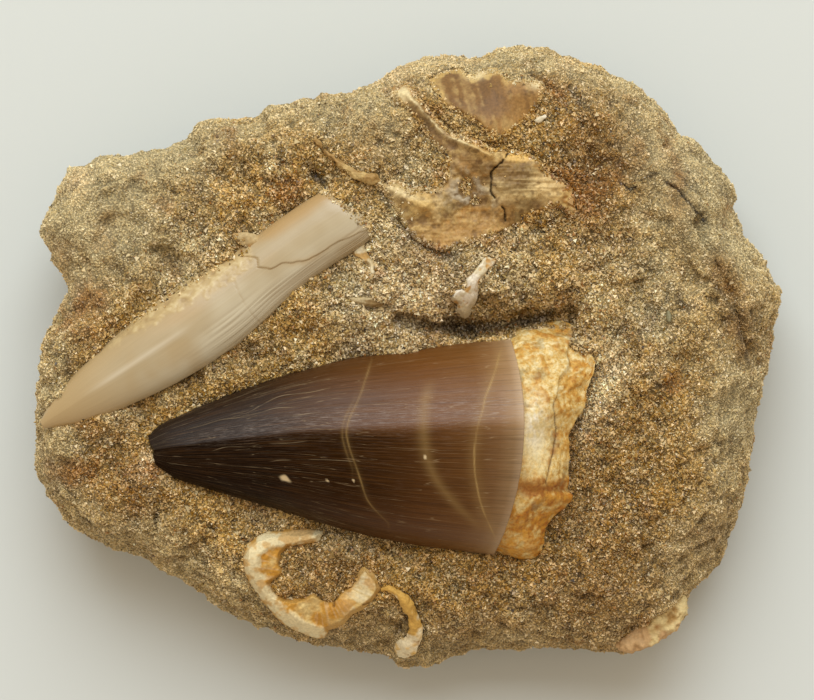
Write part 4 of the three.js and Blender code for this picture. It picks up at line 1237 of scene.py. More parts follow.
# %% [markdown]
# ## The skull plate
#
# It is a thin brown plate with fine streaks across it, and sand covers its upper edge unevenly. A bent sheet
# would do, but as a low dome in the same kind of relief it lies closely on the uneven sand.

# %% The skull plate's outline
PLATE = [
    (3.1, 37.3), (3.9, 38), (4.9, 38.4), (6.8, 38.7), (8, 38), (9, 37.7), (9.9, 38.1), (11.5, 38.3),
    (13.4, 37.3), (15.6, 36.8), (17, 36.9), (18, 36.4), (18.1, 35.4), (17.9, 34.3), (16.4, 32.1),
    (14.5, 30.7), (12.6, 29.4), (10.7, 29.9), (9.3, 31.5), (7.6, 32.4), (5.4, 33.5), (4.1, 34.9),
    (3.5, 36.2),
]
PLATE_MIDDLE = (10.4, 34.4)

# %% The skull plate's height and colours
points = relief_lattice(PLATE, BONE_STEP)
x, y, _ = np.moveaxis(points, 2, 0)
upper_edge = fade(y - 0.28 * (x - 10), 34, 37)
inset = depth_inside(points[..., :2], smooth_outline(PLATE)) + 0.25 * rough_noise(points, 1.2, 51)
plate_streaks = smooth_noise(np.stack([(x + 0.25 * y) / 0.5, y / 6, 0 * x], axis=-1), 1, 52)
far = np.hypot(x - PLATE_MIDDLE[0], y - PLATE_MIDDLE[1]) / 7
height = edge_profile(inset, 0.3, 0.5) + 0.45 * np.clip(1 - far**2, 0, 1)
height += fade(inset, 0, 0.4) * (0.05 * plate_streaks + 0.05 * rough_noise(points, 1, 53))
ragged = fade(-inset - 0.6 * rough_noise(points, 1.1, 55), -0.9, -0.2)
colours = painted("#7d5b30", [
    ("#765735", fade(rough_noise(points, 3.5, 54), -0.1, 0.7) * 0.7),
    ("#a98047", fade(x + 0.3 * y, 21, 26) * 0.7 + bell(y - 30.5, 1.6) * 0.7),
    ("#b3945c", fade(plate_streaks + 0.4 * rough_noise(points, 0.6, 57), 0.0, 0.8) * 0.6),
    ("#6d5030", fade(-plate_streaks - 0.3 * rough_noise(points, 0.6, 58), 0.1, 0.8) * 0.5),
    ("#c9a864", upper_edge * ragged * 0.8),
    ("#e0cfa0", bell(x - 9.2, 1.2) * bell(y - 38, 0.7) + bell(x - 17.4, 1.2) * bell(y - 36.5, 0.8)),
    (UMBER, fade(-rough_noise(points, 0.8, 56), 0.45, 0.9) * 0.6),
])
add_relief("bone_plate", points, inset, height, colours, 1.1, brown_bone)

# %% [markdown]
# ## The broken vertebra
#
# What is left of a fish's vertebra is most of one cup's rim: a smooth cream wall outside, ochre spongy bone
# sloping down inside, and sand in the middle. A cut ring would be too even, because it broke at random, so
# it is a relief whose height falls with the distance from the wall.

# %% The ring bone's outline and wall
RING = [
    (-11.7, -23.8), (-14, -23.7), (-16.3, -23.7), (-19.7, -24.3), (-21.3, -25.6), (-21.8, -27.8),
    (-21.3, -29.9), (-19.7, -32.5), (-17.5, -35.6), (-15, -37.5), (-12, -38.5), (-11.3, -37.9),
    (-11, -37.2), (-8.9, -36.4), (-7.7, -35), (-5.1, -33.4), (-3.9, -31.7), (-4.2, -29.9), (-5.7, -28.5),
    (-6.5, -29.4), (-7.3, -30.6), (-9, -31.9), (-10.2, -32.9), (-12.8, -32.1), (-14.1, -32.8),
    (-16.7, -32.9), (-18.4, -31.7), (-18.5, -30.6), (-16.7, -29.5), (-17, -27.8), (-16.7, -26.3),
    (-14.5, -25.3), (-12.2, -24.7),
]
RING_WALL = [
    (-12, -24.1), (-16.3, -24.4), (-19.2, -24.9), (-20.7, -26.2), (-21.1, -27.9), (-20.6, -29.7),
    (-19.1, -32.2), (-17, -35), (-14.7, -36.8), (-12, -37.7),
]
RING_MIDDLE = (-12, -29.5)
RING_RIGHT = [(-4.9, -29.8), (-4.9, -31.7), (-5.9, -33.3), (-7.7, -34.4), (-9.3, -35.4), (-11, -35.8)]
RING_NOTCHES = [([(-9.7, -29.6), (-9.9, -33.9)], 0.13), ([(-6, -33.6), (-4, -33.1)], 0.12)]

# %% The ring bone's height
points = relief_lattice(RING, RING_STEP)
x, y, _ = np.moveaxis(points, 2, 0)
place = points[..., :2]
inset = depth_inside(place, smooth_outline(RING)) - 0.3 + 0.15 * rough_noise(points, 0.9, 61)
wall_distance, right_distance = distance_to(RING_WALL, place), distance_to(RING_RIGHT, place)
pits = rough_noise(points, 0.9, 62)
# Fine lines run outwards from the cup's middle, as they do on every vertebra's rim.
out_x, out_y = x - RING_MIDDLE[0], y - RING_MIDDLE[1]
spokes_place = np.stack([np.arctan2(out_y, out_x) * 22, np.hypot(out_x, out_y) / 3, 0 * x], axis=-1)
spokes = rough_noise(spokes_place, 1, 65, 2)
wall = 0.6 * (1 - fade(wall_distance, 0.7, 1.5)) + 0.4 * (1 - fade(wall_distance, 1.2, 3.6))
right = 1 - fade(right_distance, 0.7, 2.4)
pitted = fade(wall_distance, 1, 2) * (1 - right)
height = edge_profile(inset, 0.4, 0.25) + np.maximum(0.95 * wall, 0.6 * right)
height += fade(inset, 0, 0.3) * (0.03 * spokes + 0.2 * pits * pitted + 0.03 * rough_noise(points, 0.4, 63))
notch = sum(bell(distance_to(path, place), width) for path, width in RING_NOTCHES)
height -= 0.35 * notch
print_relief("ring bone", height[inset > 0])

# %% The ring bone's colours
RING_CREAM, OCHRE = "#e3d4a8", "#c68e2c"
wash = rough_noise(points, 2, 64)
inner = fade(wall_distance + 0.35 * pits, 0.8, 1.4)
colours = painted("#dcc283", [
    (OCHRE, inner * fade(-x, 5.5, 9) * fade(wash + 0.8, -0.1, 0.8) * 0.9),
    ("#ac742b", inner * fade(pits + wash, 0.5, 1.1) * 0.7),
    (RING_CREAM, fade(x, -10, -6) * fade(wash + 0.3 * spokes, -0.5, 0.3) * 0.8),
    ("#c3a25f", fade(-spokes, 0.2, 0.8) * 0.35),
    ("#eee4c6", fade(spokes + 0.5 * wash, 0.3, 0.9) * 0.25),
    (RING_CREAM, fade(-wall_distance - 0.35 * pits, -1.4, -0.8) * 0.85),
    (OCHRE, fade(wash + pits, 0.2, 1.0) * 0.55),
    ("#b98f47", fade(-inset, -0.3, 0) * inner * 0.8),
    (UMBER, np.clip(notch, 0, 1) * 0.6),
])
# Spongy bone that iron has stained is cream and ochre, and duller than the fish bone. Its fine pores are
# 0.33 mm too.
cream_bone, *_ = bone_material("porous_cream_ochre_bone", 3000.0, (0.85, 1.08), 0.68)
add_relief("ring_bone", points, inset, height, colours, 1.8, cream_bone)

# %% [markdown]
# ## Slivers and splinters
#
# The three white slivers are flakes that lie flat, so each is a small relief inside its own outline. The
# other small bones are bars: an oval section carried along a bent path that follows the sand. Noise breaks
# their outline, so that none looks like a turned stick.

# %% Thin flakes in the sand
WHITE_SLIVER = [
    (11.9, 12.9), (10.8, 13.3), (10.3, 13.2), (9.8, 12.5), (9.1, 11.6), (8.6, 10.7), (8.2, 10), (8, 9.3),
    (7.7, 8.8), (7.1, 8.9), (6.4, 8.5), (6.2, 7.8), (6.9, 7.3), (7.3, 7.2), (7.1, 6.6), (7.3, 5.9),
    (7.8, 5.5), (8.3, 6), (8.3, 6.6), (8.7, 7.1), (9, 7.8), (9.1, 8.7), (9.3, 9.5), (9.8, 10.3),
    (10.4, 11.1), (11.1, 11.8), (11.7, 12.4),
]
FORKED_SLIVER = [
    (-7.2, 13.9), (-6.9, 14.6), (-6.4, 14.8), (-5.9, 15.4), (-5.6, 14.6), (-5.3, 14.2), (-5, 13.5),
    (-4.5, 12.6), (-4.3, 11.9), (-4.4, 11), (-4.9, 11.3), (-5, 12.2), (-5.4, 12.7), (-5.9, 12.7),
    (-6.3, 13.2), (-6.8, 13.4),
]
FLAT_SLIVER = [
    (-8.6, 8.2), (-6.8, 8), (-5.4, 7.9), (-4.4, 7.6), (-3.4, 7.1), (-4.4, 6.9), (-5.6, 6.9), (-6.7, 7.1),
    (-7.6, 7.5),
]

# The slivers lost their brown to water in the sand, so they are pale and chalky, with hardly any shine.
# Their pores are drawn 0.29 mm wide.
white_bone, *_ = bone_material("chalky_white_bone", 3500.0, (0.85, 1.08), 0.75)


def add_flake(name, outline, rise, seed, tones):
    """A thin flake: a relief with a crooked edge, in three tones. The third lies in its low spots."""
    points = relief_lattice(outline, FLAKE_STEP, 0.6)
    crooked, bumps, blotches = (
        rough_noise(points, size, seed + more) for size, more in [(0.8, 0), (0.9, 3), (1.3, 5)]
    )
    inset = depth_inside(points[..., :2], smooth_outline(outline, 0.2)) - 0.06 + 0.1 * crooked
    height = edge_profile(inset, rise, 0.2) + 0.12 * bumps * fade(inset, 0, 0.3)
    main, second, low = tones
    colours = painted(main, [(second, fade(blotches, -0.1, 0.5)), (low, fade(-bumps, 0.1, 0.6) * 0.9)])
    add_relief(name, points, inset, height, colours, 0.8, white_bone, 0.5)


add_flake("white_sliver", WHITE_SLIVER, 0.3, 91, ("#d9cba6", "#e9dfc8", "#bf9048"))
add_flake("forked_sliver", FORKED_SLIVER, 0.3, 92, ("#c6b388", "#dccfab", "#b58c4a"))
add_flake("flat_sliver", FLAT_SLIVER, 0.28, 93, ("#b7a47a", "#cbbb94", "#94784a"))

# %% Bars of bone along the sand
# Stations of each bar: x, y, half width, half height, height of its axis over the sand.
CRESCENT = [
    (-3.6, -31.8, 0.35, 0.4, 0), (-2.4, -31.4, 0.55, 0.7, 0.1), (-0.6, -32.6, 0.65, 0.9, 0.2),
    (0.6, -34.6, 0.7, 1, 0.3), (1.1, -36.6, 0.9, 0.9, 0.2), (0.9, -38.4, 1.2, 0.8, 0.1),
    (0, -39.8, 1.4, 0.8, 0), (-1.2, -41, 1.1, 0.7, -0.2),
]
RIM_BONE = [
    (28.4, -39.6, 0.9, 0.6, -0.1), (30.8, -38.8, 1.7, 1.1, -0.1), (33.2, -37.5, 2.1, 1.3, 0),
    (35.5, -35.9, 2.1, 1.5, 0), (37, -34.3, 1.8, 1.3, -0.1), (38, -32.9, 1, 0.8, -0.1),
]
BONE_STRIP = [
    (-12.4, 29.2, 0.3, 0.3, 0), (-10.9, 27.4, 0.4, 0.5, 0), (-9, 25.8, 0.45, 0.6, 0),
    (-7, 24.6, 0.5, 0.6, 0.05), (-5, 23.9, 0.55, 0.6, 0.05), (-3.6, 23.5, 0.35, 0.4, 0),
]
SHELL_CHIP = [(17.1, 31.4, 0.3, 0.3, 0), (17.8, 31.9, 0.5, 0.45, 0.1), (18.6, 32.4, 0.35, 0.3, 0)]
FANG_FLAKE = [
    (-23.3, 16.4, 0.2, 0.25, 0.1), (-22.3, 15.9, 0.6, 0.4, 0.2), (-21, 15.4, 1.1, 0.5, 0.3),
    (-19.4, 14.8, 1.6, 0.6, 0.4),
]
GREY_CHIP = [(35, 6.3, 0.2, 0.3, 0), (35.1, 5.5, 0.35, 0.4, 0), (35.2, 4.6, 0.2, 0.3, 0)]

# %% A bar over its stations
BAR_SPACING, BAR_SIDES = 0.14, 48  # mm from ring to ring, points round a ring


def add_bar(name, stations, roughness, lean, seed, tones, material):
    """Adds a bar of bone in three tones: its main colour, a second in patches, a third in its pits.

    Its rings are ovals across its path, which shrink to nothing over each end. Coarse noise bends their
    outline and fine noise pits it. The larger the lean, the more the second tone gathers at the far end.
    """
    stations = np.asarray(stations, float)
    at = way_along(stations[:, :2])
    place = np.linspace(0, at[-1], max(12, int(at[-1] / BAR_SPACING)))
    path_x, path_y, half_width, half_height, over = (
        smooth_line(np.stack([at, column], axis=1), place) for column in stations.T
    )
    end = np.minimum(place, at[-1] - place) / np.minimum(half_width, at[-1] / 3)
    rounding = np.sqrt(np.clip(1 - (1 - np.clip(end + 0.02, 0, 1)) ** 2, 0.02, 1))
    forward = np.stack([np.gradient(path_x), np.gradient(path_y)], axis=1)
    forward /= np.linalg.norm(forward, axis=1, keepdims=True)
    angle = np.linspace(0, TURN, BAR_SIDES, endpoint=False)
    reach = (half_width * rounding)[:, None] * np.cos(angle)
    rise = (half_height * rounding)[:, None] * np.sin(angle)
    axis_z = (sand_height(path_x, path_y) + over)[:, None]
    rings = np.stack([
        path_x[:, None] - forward[:, 1:] * reach, path_y[:, None] + forward[:, :1] * reach, axis_z + rise,
    ], axis=-1)
    relief = roughness * (0.35 * rough_noise(rings, 1.8, seed) + 0.12 * rough_noise(rings, 0.5, seed + 3))
    rings = relieved(rings, relief)
    blotches = rough_noise(rings, 1.6, seed + 5) + lean * (place[:, None] / at[-1] - 0.5)
    main, second, low = tones
    colours = painted(main, [
        (second, fade(blotches, -0.05, 0.6)), (low, fade(-relief / roughness, 0.12, 0.4) * 0.8),
    ])
    mesh = tube_mesh(f"{name}_surface", rings, {"bone": colours})
    add_piece(mesh, material, name if name in frame["nodes"] else None)


BARS = [
    ("crescent_bone", CRESCENT, 0.9, 1.6, ("#cda250", "#e6d7b0", "#9c6d2a"), cream_bone, "cream_bone"),
    ("rim_bone", RIM_BONE, 1.8, 2.5, ("#c4a070", "#d8c28a", "#a87e40"), cream_bone, "cream_bone"),
    ("bone_strip", BONE_STRIP, 1.4, 0, ("#a5834c", "#c2a66c", "#6b4f2c"), brown_bone, "brown_bone"),
    ("shell_chip", SHELL_CHIP, 0.7, 0, ("#d9ccaa", "#e8dfc6", "#b39a68"), white_bone, "white_bone"),
    ("fang_flake", FANG_FLAKE, 0.6, 0, ("#a78652", "#b9a274", "#8a6638"), cream_bone, "fang_enamel"),
    ("grey_chip", GREY_CHIP, 0.5, 0, ("#77714f", "#868060", "#5a553c"), brown_bone, "sandstone"),
]
for number, (name, stations, roughness, lean, tones, material, slot) in enumerate(BARS):
    add_bar(name, stations, roughness, lean, 71 + number, tones, material)

# %% [markdown]
# ## The sandstone: its skin
#
# The block's skin is one closed surface. A ball is cut into six square lattices, like a cube blown up, so
# it has no crowded poles, and each direction from the middle leads to a point of the block by the formula
# above. Broken rock is rough at every scale, so layers of noise push the skin in and out. Near a fossil the
# sand was worked smooth, and under one it gives way. The flat spot below stays flat.

# %% Where the fossils are, seen from above
MAP_CELL = 0.3
MAP_REACH = 54
map_side = int(2 * MAP_REACH / MAP_CELL)
SANDED = ("fish_bone_surface", "bone_plate_surface")  # the low bones that sand still clings to
fossil_top = np.full((map_side, map_side), -1.0)
bone_top = fossil_top.copy()
for piece in [ob for ob in bpy.data.objects if ob.name.endswith("_surface")]:
    found = np.empty(len(piece.data.vertices) * 3, np.float32)
    piece.data.vertices.foreach_get("co", found)
    found = found.reshape(-1, 3) / MM
    cell = ((found[:, :2] + MAP_REACH) / MAP_CELL).astype(int)
    np.maximum.at(fossil_top, (cell[:, 0], cell[:, 1]), found[:, 2])
    if piece.name in SANDED:
        np.maximum.at(bone_top, (cell[:, 0], cell[:, 1]), found[:, 2])


def look_up(field, x, y):
    """The value of a field of the map at (x, y), blended between its four nearest cells."""
    at = np.clip((np.stack([x, y]) + MAP_REACH) / MAP_CELL - 0.5, 0, map_side - 1.001)
    i, j = at.astype(int)
    u, v = at - [i, j]
    low = field[i, j] * (1 - v) + field[i, j + 1] * v
    high = field[i + 1, j] * (1 - v) + field[i + 1, j + 1] * v
    return low * (1 - u) + high * u


ticks = (np.arange(map_side) + 0.5) * MAP_CELL - MAP_REACH
map_x, map_y = np.meshgrid(ticks, ticks, indexing="ij")
proud = fossil_top - sand_height(map_x, map_y)  # how far a fossil stands over the sand


def spread(field, reach):
    """Spreads a field of the map: each value reaches that many mm out, and fades to 0 on the way."""
    for _ in range(int(reach / MAP_CELL)):
        for shift in [(1, 0), (-1, 0), (0, 1), (0, -1)]:
            field = np.maximum(field, np.roll(field, shift, (0, 1)) - MAP_CELL / reach)
    return field


near = spread(np.clip(proud / 1.5, 0, 1), 3)
is_bone = bone_top - sand_height(map_x, map_y) > 0.02
bone_edge = is_bone * spread((proud < 0.02).astype(float), 1.2)
print("share of the map that fossils cover:", round(float((proud > 0.05).mean()), 3))

# %% Directions of a cube blown up to a ball
FACE_CELLS = 128


def ball_lattice(cells):
    """Directions of a ball made of six lattices, with shared edge points merged, and the quads between."""
    tick = np.tan(np.linspace(-1, 1, cells + 1) * np.pi / 4)
    a, b = np.meshgrid(tick, tick, indexing="ij")
    one = np.ones_like(a)
    sheets = [(one, a, b), (-one, b, a), (b, one, a), (a, -one, b), (a, b, one), (b, a, -one)]
    directions = np.concatenate([np.stack(sheet, axis=-1).reshape(-1, 3) for sheet in sheets])
    directions /= np.linalg.norm(directions, axis=1, keepdims=True)
    i, j = np.indices((cells, cells)).reshape(2, -1)
    side = cells + 1
    quads = np.stack([i * side + j, (i + 1) * side + j, (i + 1) * side + j + 1, i * side + j + 1], axis=1)
    quads = np.concatenate([quads + number * side * side for number in range(6)])
    _, first, merged = np.unique(directions.round(7), axis=0, return_index=True, return_inverse=True)
    return directions[first], merged.ravel()[quads]


# %% From a direction to the block's skin
TOP_ENDS, RIM_AT, FLAT_STARTS = 0.55, 0.78, 0.9  # shares of the walk from the top's middle to the flat spot


def block_points(direction):
    """Points of the block's skin, by direction.

    The tilt from +Z says how far the walk has gone: over the top face, down the shoulder on a quarter
    ellipse, in under the widest line on another, and over the flat spot.
    """
    angle = np.arctan2(direction[:, 1], direction[:, 0])
    walked = np.arccos(np.clip(direction[:, 2], -1, 1)) / np.pi
    start = every_eighth(SHOULDER_STARTS, angle)
    rim = every_eighth(RIM_HEIGHTS, angle)
    shoulder = np.clip((walked - TOP_ENDS) / (RIM_AT - TOP_ENDS), 0, 1) * np.pi / 2
    under = np.clip((walked - RIM_AT) / (FLAT_STARTS - RIM_AT), 0, 1) * np.pi / 2
    zones = [walked <= TOP_ENDS, walked <= RIM_AT, walked <= FLAT_STARTS]
    share = np.select(zones, [
        start * walked / TOP_ENDS, start + (1 - start) * np.sin(shoulder),
        REST_SHARE + (1 - REST_SHARE) * np.cos(under),
    ], REST_SHARE * (1 - walked) / (1 - FLAT_STARTS))
    radius = share * radius_by_angle(BLOCK_OUTLINE, angle)
    x, y = radius * np.cos(angle), radius * np.sin(angle)
    high = top_face(x, y)
    bulge = 1 + 0.5 * lumps(2 * y, x) * np.sin(under) * np.cos(under)
    z = np.select(zones, [high, rim + (high - rim) * np.cos(shoulder), rim * (1 - np.sin(under)) * bulge], 0)
    return np.stack([x, y, z], axis=1)


# %% The skin's relief
LONG_CRACK = [(34.6, 23.4), (35.6, 22.8), (36.6, 22.1), (37.2, 21.2), (38.4, 20), (39.4, 19)]
# Cracks and ledges of the top: path, half width, depth.
ROCK_CRACKS = [
    (LONG_CRACK, 0.3, 0.6),
    ([(21.5, 36.5), (23.5, 34.5), (25.5, 32), (28, 30.2)], 0.5, 0.6),
    ([(39.5, 17.8), (41.5, 12.9), (43.8, 8.6), (45.4, 4.3), (47.2, 1)], 0.8, 1.5),
    ([(-12.5, 24.4), (-10.5, 22.6)], 0.6, 1.0),
    ([(-4.5, 22), (-8, 20.5), (-12, 19.5)], 0.35, 0.4),
    ([(-8, 10.5), (-3, 9.5), (3, 9.2)], 0.5, 0.5),
    ([(26, -21), (29, -23), (34, -23.5)], 0.5, 0.6),
    ([(-1.2, 4.6), (1.8, 4.4), (5.1, 4), (8.5, 3.9), (11.9, 4.1), (15.3, 4.8), (18.6, 5.3), (22, 5.5)],
     0.9, 2.4),
    ([(17.5, 2.9), (20.5, 3.5), (23.5, 3.4)], 0.9, 0.9),
    ([(-1, 18.4), (1.4, 15.3), (5.2, 13.5), (9.5, 14.6)], 0.6, 0.6),
]
# How much further out the walls lie than the outline's formula puts them: degrees, mm.
WALL_TRIM = [
    (0, 0.5), (6, -0.2), (10, 0.4), (15, 0.1), (22, 0), (40, 0), (55, -0.6), (75, -0.1), (83, -0.2),
    (88, -0.5), (93, -0.3), (105, -0.5), (113, -0.1), (118, -0.2), (122, -0.2), (127, -0.9), (131, -0.1),
    (133, -0.5), (138, -0.9), (143, -1), (146, -0.1), (148.5, -1), (152, -0.5), (157, -0.8), (164, -0.1),
    (168, -1), (173, -0.4), (179, -1.1), (184, -0.5), (190, -0.6), (196, -0.1), (206, -0.4), (211, 0.3),
    (217, 0.3), (250, 0), (315, 0), (345, 0.4), (353, 0.3), (357, 0.8),
]
BRUSHED_AWAY = 0.7  # mm that the sand is lower beside a fossil that stands well out of it

# %% The skin, worked out at each point
directions, rock_quads = ball_lattice(FACE_CELLS)
a, b, c, d = directions[rock_quads].swapaxes(0, 1)
inwards = np.einsum("ij,ij->i", np.cross(c - a, d - b), a) < 0
rock_quads[inwards] = rock_quads[inwards][:, ::-1]
rock = block_points(directions)
rock_normal = point_normals(rock, rock_quads)

upward = fade(rock_normal[:, 2], 0.1, 0.6)
near_fossil = look_up(near, rock[:, 0], rock[:, 1]) * upward
big = smooth_noise(rock, 9, 101)
middle = rough_noise(rock, 3.6, 102, 2)
small = rough_noise(rock, 1.3, 104, 3)
holes = fade(smooth_noise(rock, 3.1, 106), 0.45, 0.8)
# Furrows run where a slow noise crosses zero, and only in some places.
furrows = bell(smooth_noise(rock, 4.5, 107), 0.1) * fade(smooth_noise(rock, 8, 108), -0.1, 0.4)
rock_relief = 0.45 * big + 0.62 * middle + 0.58 * small - (0.45 * furrows + 0.7 * holes) * upward
degrees, trims = np.array(WALL_TRIM).T
wall_trim = smooth_round(list(zip(np.radians(degrees), trims)), np.arctan2(rock[:, 1], rock[:, 0]))
rock_relief += (wall_trim - 0.2 - 0.3 * middle - 0.2 * big) * (1 - upward)
rock_relief *= 1 - 0.65 * near_fossil
rock_relief -= BRUSHED_AWAY * near_fossil**2
rough_place = rock[:, :2] + 0.35 * np.stack([small, middle], axis=1)
for path, half_width, deep in ROCK_CRACKS:
    rock_relief -= deep * bell(distance_to(path, rough_place), half_width) * upward
rock_relief *= fade(rock[:, 2], 0.05, 2.5)
print_relief("rock", rock_relief)
rock = rock + rock_normal * rock_relief[:, None]
# Under a fossil the skin stays below the fossil's top, and it never goes below the flat spot.
hidden = (look_up(proud, rock[:, 0], rock[:, 1]) > 0.05) & (rock_normal[:, 2] > 0)
under_fossil = look_up(fossil_top, rock[:, 0], rock[:, 1]) - 0.4
rock[:, 2] = np.where(hidden, np.minimum(rock[:, 2], under_fossil), rock[:, 2]).clip(0)

# %% [markdown]
# ## The sandstone: its colours
#
# Fresh sandstone shows light quartz and phosphate grains with dark gaps between them. Iron has stained some
# patches rusty. Where the block weathered in the open, on its flanks and in patches of its top, it is
# greyer, and towards its rim it is smoother too. One function gives the colour for any place, so that the
# skin and the grains on it match.

# %% The stone's tints
# Rusty, brown and grey patches of the top: middle x and y, radius, strength. Some brown ones are painted
# shade: under the fish bone, in the hollow right of it, beside the long crack, and along the valley inside
# the right lip.
RUST_PATCHES = [
    (22.6, 22.6, 3, 0.9), (25, 20.5, 3, 0.6), (42.6, 10.5, 2, 0.5), (-42, -14, 5, 0.5), (33, -4, 6, 0.35),
    (36.5, 23.4, 2, 0.5), (28, 15, 5, 0.3), (-43, 4.9, 4.5, 0.6), (11.5, 14.5, 3, 0.4), (31, 27.6, 6, 0.3),
    (-32, 19.5, 3, 0.5), (-16, 22, 3, 0.4), (19, 35, 3, 0.5), (-4.5, 12, 3, 0.3), (-34.2, -15, 1.6, 0.9),
]
BROWN_AND_SHADE_PATCHES = [
    (27, -31, 9, 0.9), (10, -35, 9, 0.4), (-37, -17, 6, 0.9), (3, 15, 4, 0.7), (22, 4.5, 3, 0.4),
    (17, 20, 4, 0.4), (42, -24, 5, 0.4), (-5, 27.5, 4, 0.4), (-11, -28.5, 5, 0.7), (4, 5, 8, 0.55),
    (30, -12, 8, 0.5), (-8, -37, 8, 0.4), (24, -21, 4, 0.6), (25.3, 26.5, 6, 0.9), (24.5, 21.5, 4, 0.9),
    (36.2, 20.6, 2, 0.7), (41.8, 12.5, 1.8, 0.9), (43.6, 9, 1.8, 1.0), (45.3, 5, 2, 1.0), (46, 1, 2.2, 0.8),
    (24, 33, 4, 0.4),
]
CREAM_PATCHES = [
    (-34.9, -14.6, 1.5, 1.0), (-37.5, -8.5, 2, 0.3), (0.5, 8.5, 5, 0.85), (-6.5, 1.2, 1.8, 1.0),
    (23.5, -9.5, 1.8, 0.9), (24.6, -6, 2.2, 1.1), (26.3, -2.2, 3, 1.1), (45.5, 7, 2, 0.4),
    (-20, -21.5, 2, 0.4), (-44.8, 24, 2.2, 0.8), (21.5, 39.7, 1.4, 0.9), (-47.5, 11, 2.2, 0.6),
    (-10, -36.6, 1.6, 0.6), (-2, 38.8, 2.4, 0.8), (6, 41, 4, 0.4), (33.7, 9.2, 0.9, 0.7),
    (39, 7.4, 0.9, 0.6), (29.5, 12, 1, 0.5),
]
GREY_PATCHES = [
    (-41.5, 18, 8.5, 1.0), (30, 26, 7, 0.5), (40, 22, 7, 0.9), (-1, 10, 10, 1.0), (0, 25, 4, 0.6),
    (-5, 29, 5, 0.3), (-31, 13, 5, 0.7), (-1.5, 30.5, 3, 0.5), (-38, 26, 9, 0.6), (10, 13, 6, 0.5),
    (35, 9, 11, 0.7), (-8, -34, 8, 0.2), (43, -8, 5, 0.6), (-22, 1, 5, 0.4),
]
# The sharp cracks, too thin for the skin's lattice, are drawn by dark grains: path, half width, strength.
# The wide ones along the crown's upper side and under the fish bone's belly are painted shadow.
DARK_CRACKS_AND_SHADOWS = [
    ([(28.6, 23.2), (29.8, 22.6), (30.5, 22.8)], 0.3, 1.0),
    ([(31.2, 23.9), (32.1, 24.2), (33.8, 24.5)], 0.15, 0.9),
    ([*LONG_CRACK, (40, 18)], 0.26, 1.0),
    ([(-1.2, 4.4), (1.8, 4.3), (5.1, 4), (8.5, 3.8)], 0.9, 0.75),
    ([(8.5, 3.8), (11.9, 4), (15.3, 4.7), (18.6, 5.3)], 0.9, 0.8),
    ([(-1.2, 18.2), (1.2, 15.4), (4.6, 13.7), (6.5, 13.7)], 0.7, 0.55),
    ([(-3.6, 22), (-2.4, 20.2)], 0.5, 0.6),
    ([(21.8, 36), (23.4, 34.2), (25.2, 32)], 0.35, 0.6),
    ([(-12.8, 24.3), (-11.4, 23.5)], 0.6, 0.8),
    ([(41.6, 9.5), (42.6, 8.2), (44.2, 6.4)], 0.35, 0.7),
    ([(45, 3.5), (46.2, 1), (46.6, -1.5)], 0.4, 0.6),
    ([(36.5, 8), (37.8, 6.4)], 0.2, 0.6),
]


# %% The colour of any place
def patch_strength(patches, x, y):
    """The sum of round bell-shaped patches at (x, y)."""
    return sum(
        strength * bell(np.hypot(x - at_x, y - at_y), radius) for at_x, at_y, radius, strength in patches
    )


def weathering(points):
    """How grey the stone is, from 0 to 1, and how smooth.

    It is grey on its outer flanks, in the grey patches and by chance, and smooth only towards its rim.
    """
    x, y, _ = points.T
    share = np.hypot(x, y) / radius_by_angle(BLOCK_OUTLINE, np.arctan2(y, x))
    chance = rough_noise(points, 8, 111, 2)
    grey = np.clip(0.75 * fade(share, 0.74, 0.98) + patch_strength(GREY_PATCHES, x, y) + 0.25 * chance, 0, 1)
    return grey, grey * fade(share, 0.5, 0.8)


def stone_tint(points):
    """The mean colour of the stone at each point, in linear light, and how grey and how smooth it is."""
    x, y, _ = points.T
    weathered, smooth_part = weathering(points)
    rusty = patch_strength(RUST_PATCHES, x, y) + 0.5 * rough_noise(points, 4, 112, 4)
    dusty = rough_noise(points + 50, 3, 113, 4) + 0.4 * weathered
    ragged = np.stack([rough_noise(points, 0.9, seed, 2) for seed in (115, 116)], axis=1)
    jagged = points[:, :2] + 0.25 * ragged
    beside = fade(look_up(near, x, y), 0.55, 0.9) * fade(rough_noise(points, 3, 114, 2), -0.2, 0.5)
    tint = painted("#c19b51", [
        ("#cebb89", 0.95 * weathered),
        ("#d3c08d", 0.5 * fade(dusty, 0.05, 0.75)),
        # Brown patches, some of them painted shade.
        ("#9c7538", 0.9 * patch_strength(BROWN_AND_SHADE_PATCHES, x, y)),
        # Dark cracks, and painted shadow in the groove along the crown and under the fish bone.
        *[("#23170a", strength * bell(distance_to(path, jagged), half_width))
          for path, half_width, strength in DARK_CRACKS_AND_SHADOWS],
        ("#e6cb95", 0.45 * beside + patch_strength(CREAM_PATCHES, x, y)),
        ("#a47130", 0.75 * fade(rusty, 0.15, 0.85)),
    ])
    # Crumbs and lumps that stand out are painted lighter and the pits between them darker: painted light and
    # shade that follow the relief.
    crumb, lump = rough_noise(points, 1.3, 104), rough_noise(points, 3.6, 102, 2)
    tint = tint * np.exp(0.16 * crumb + 0.17 * lump * (1 - 0.4 * weathered))[:, None]
    tint = painted(tint, [("#4f3a1c", 0.5 * fade(-crumb, 0.45, 0.9) * (1 - 0.5 * weathered))])
    return tint, weathered, smooth_part


# %% The rock's mesh and finish
tint, weathered, smooth_part = stone_tint(rock)
# The skin under the grains is darkened: partly the brown cement, partly painted shade in the gaps between the
# grains. It is darker still in the pits of its small relief, which is painted shade, and lighter where it is
# weathered and smooth.
shade = 0.56 + 0.06 * weathered + 0.24 * smooth_part + 0.14 * small
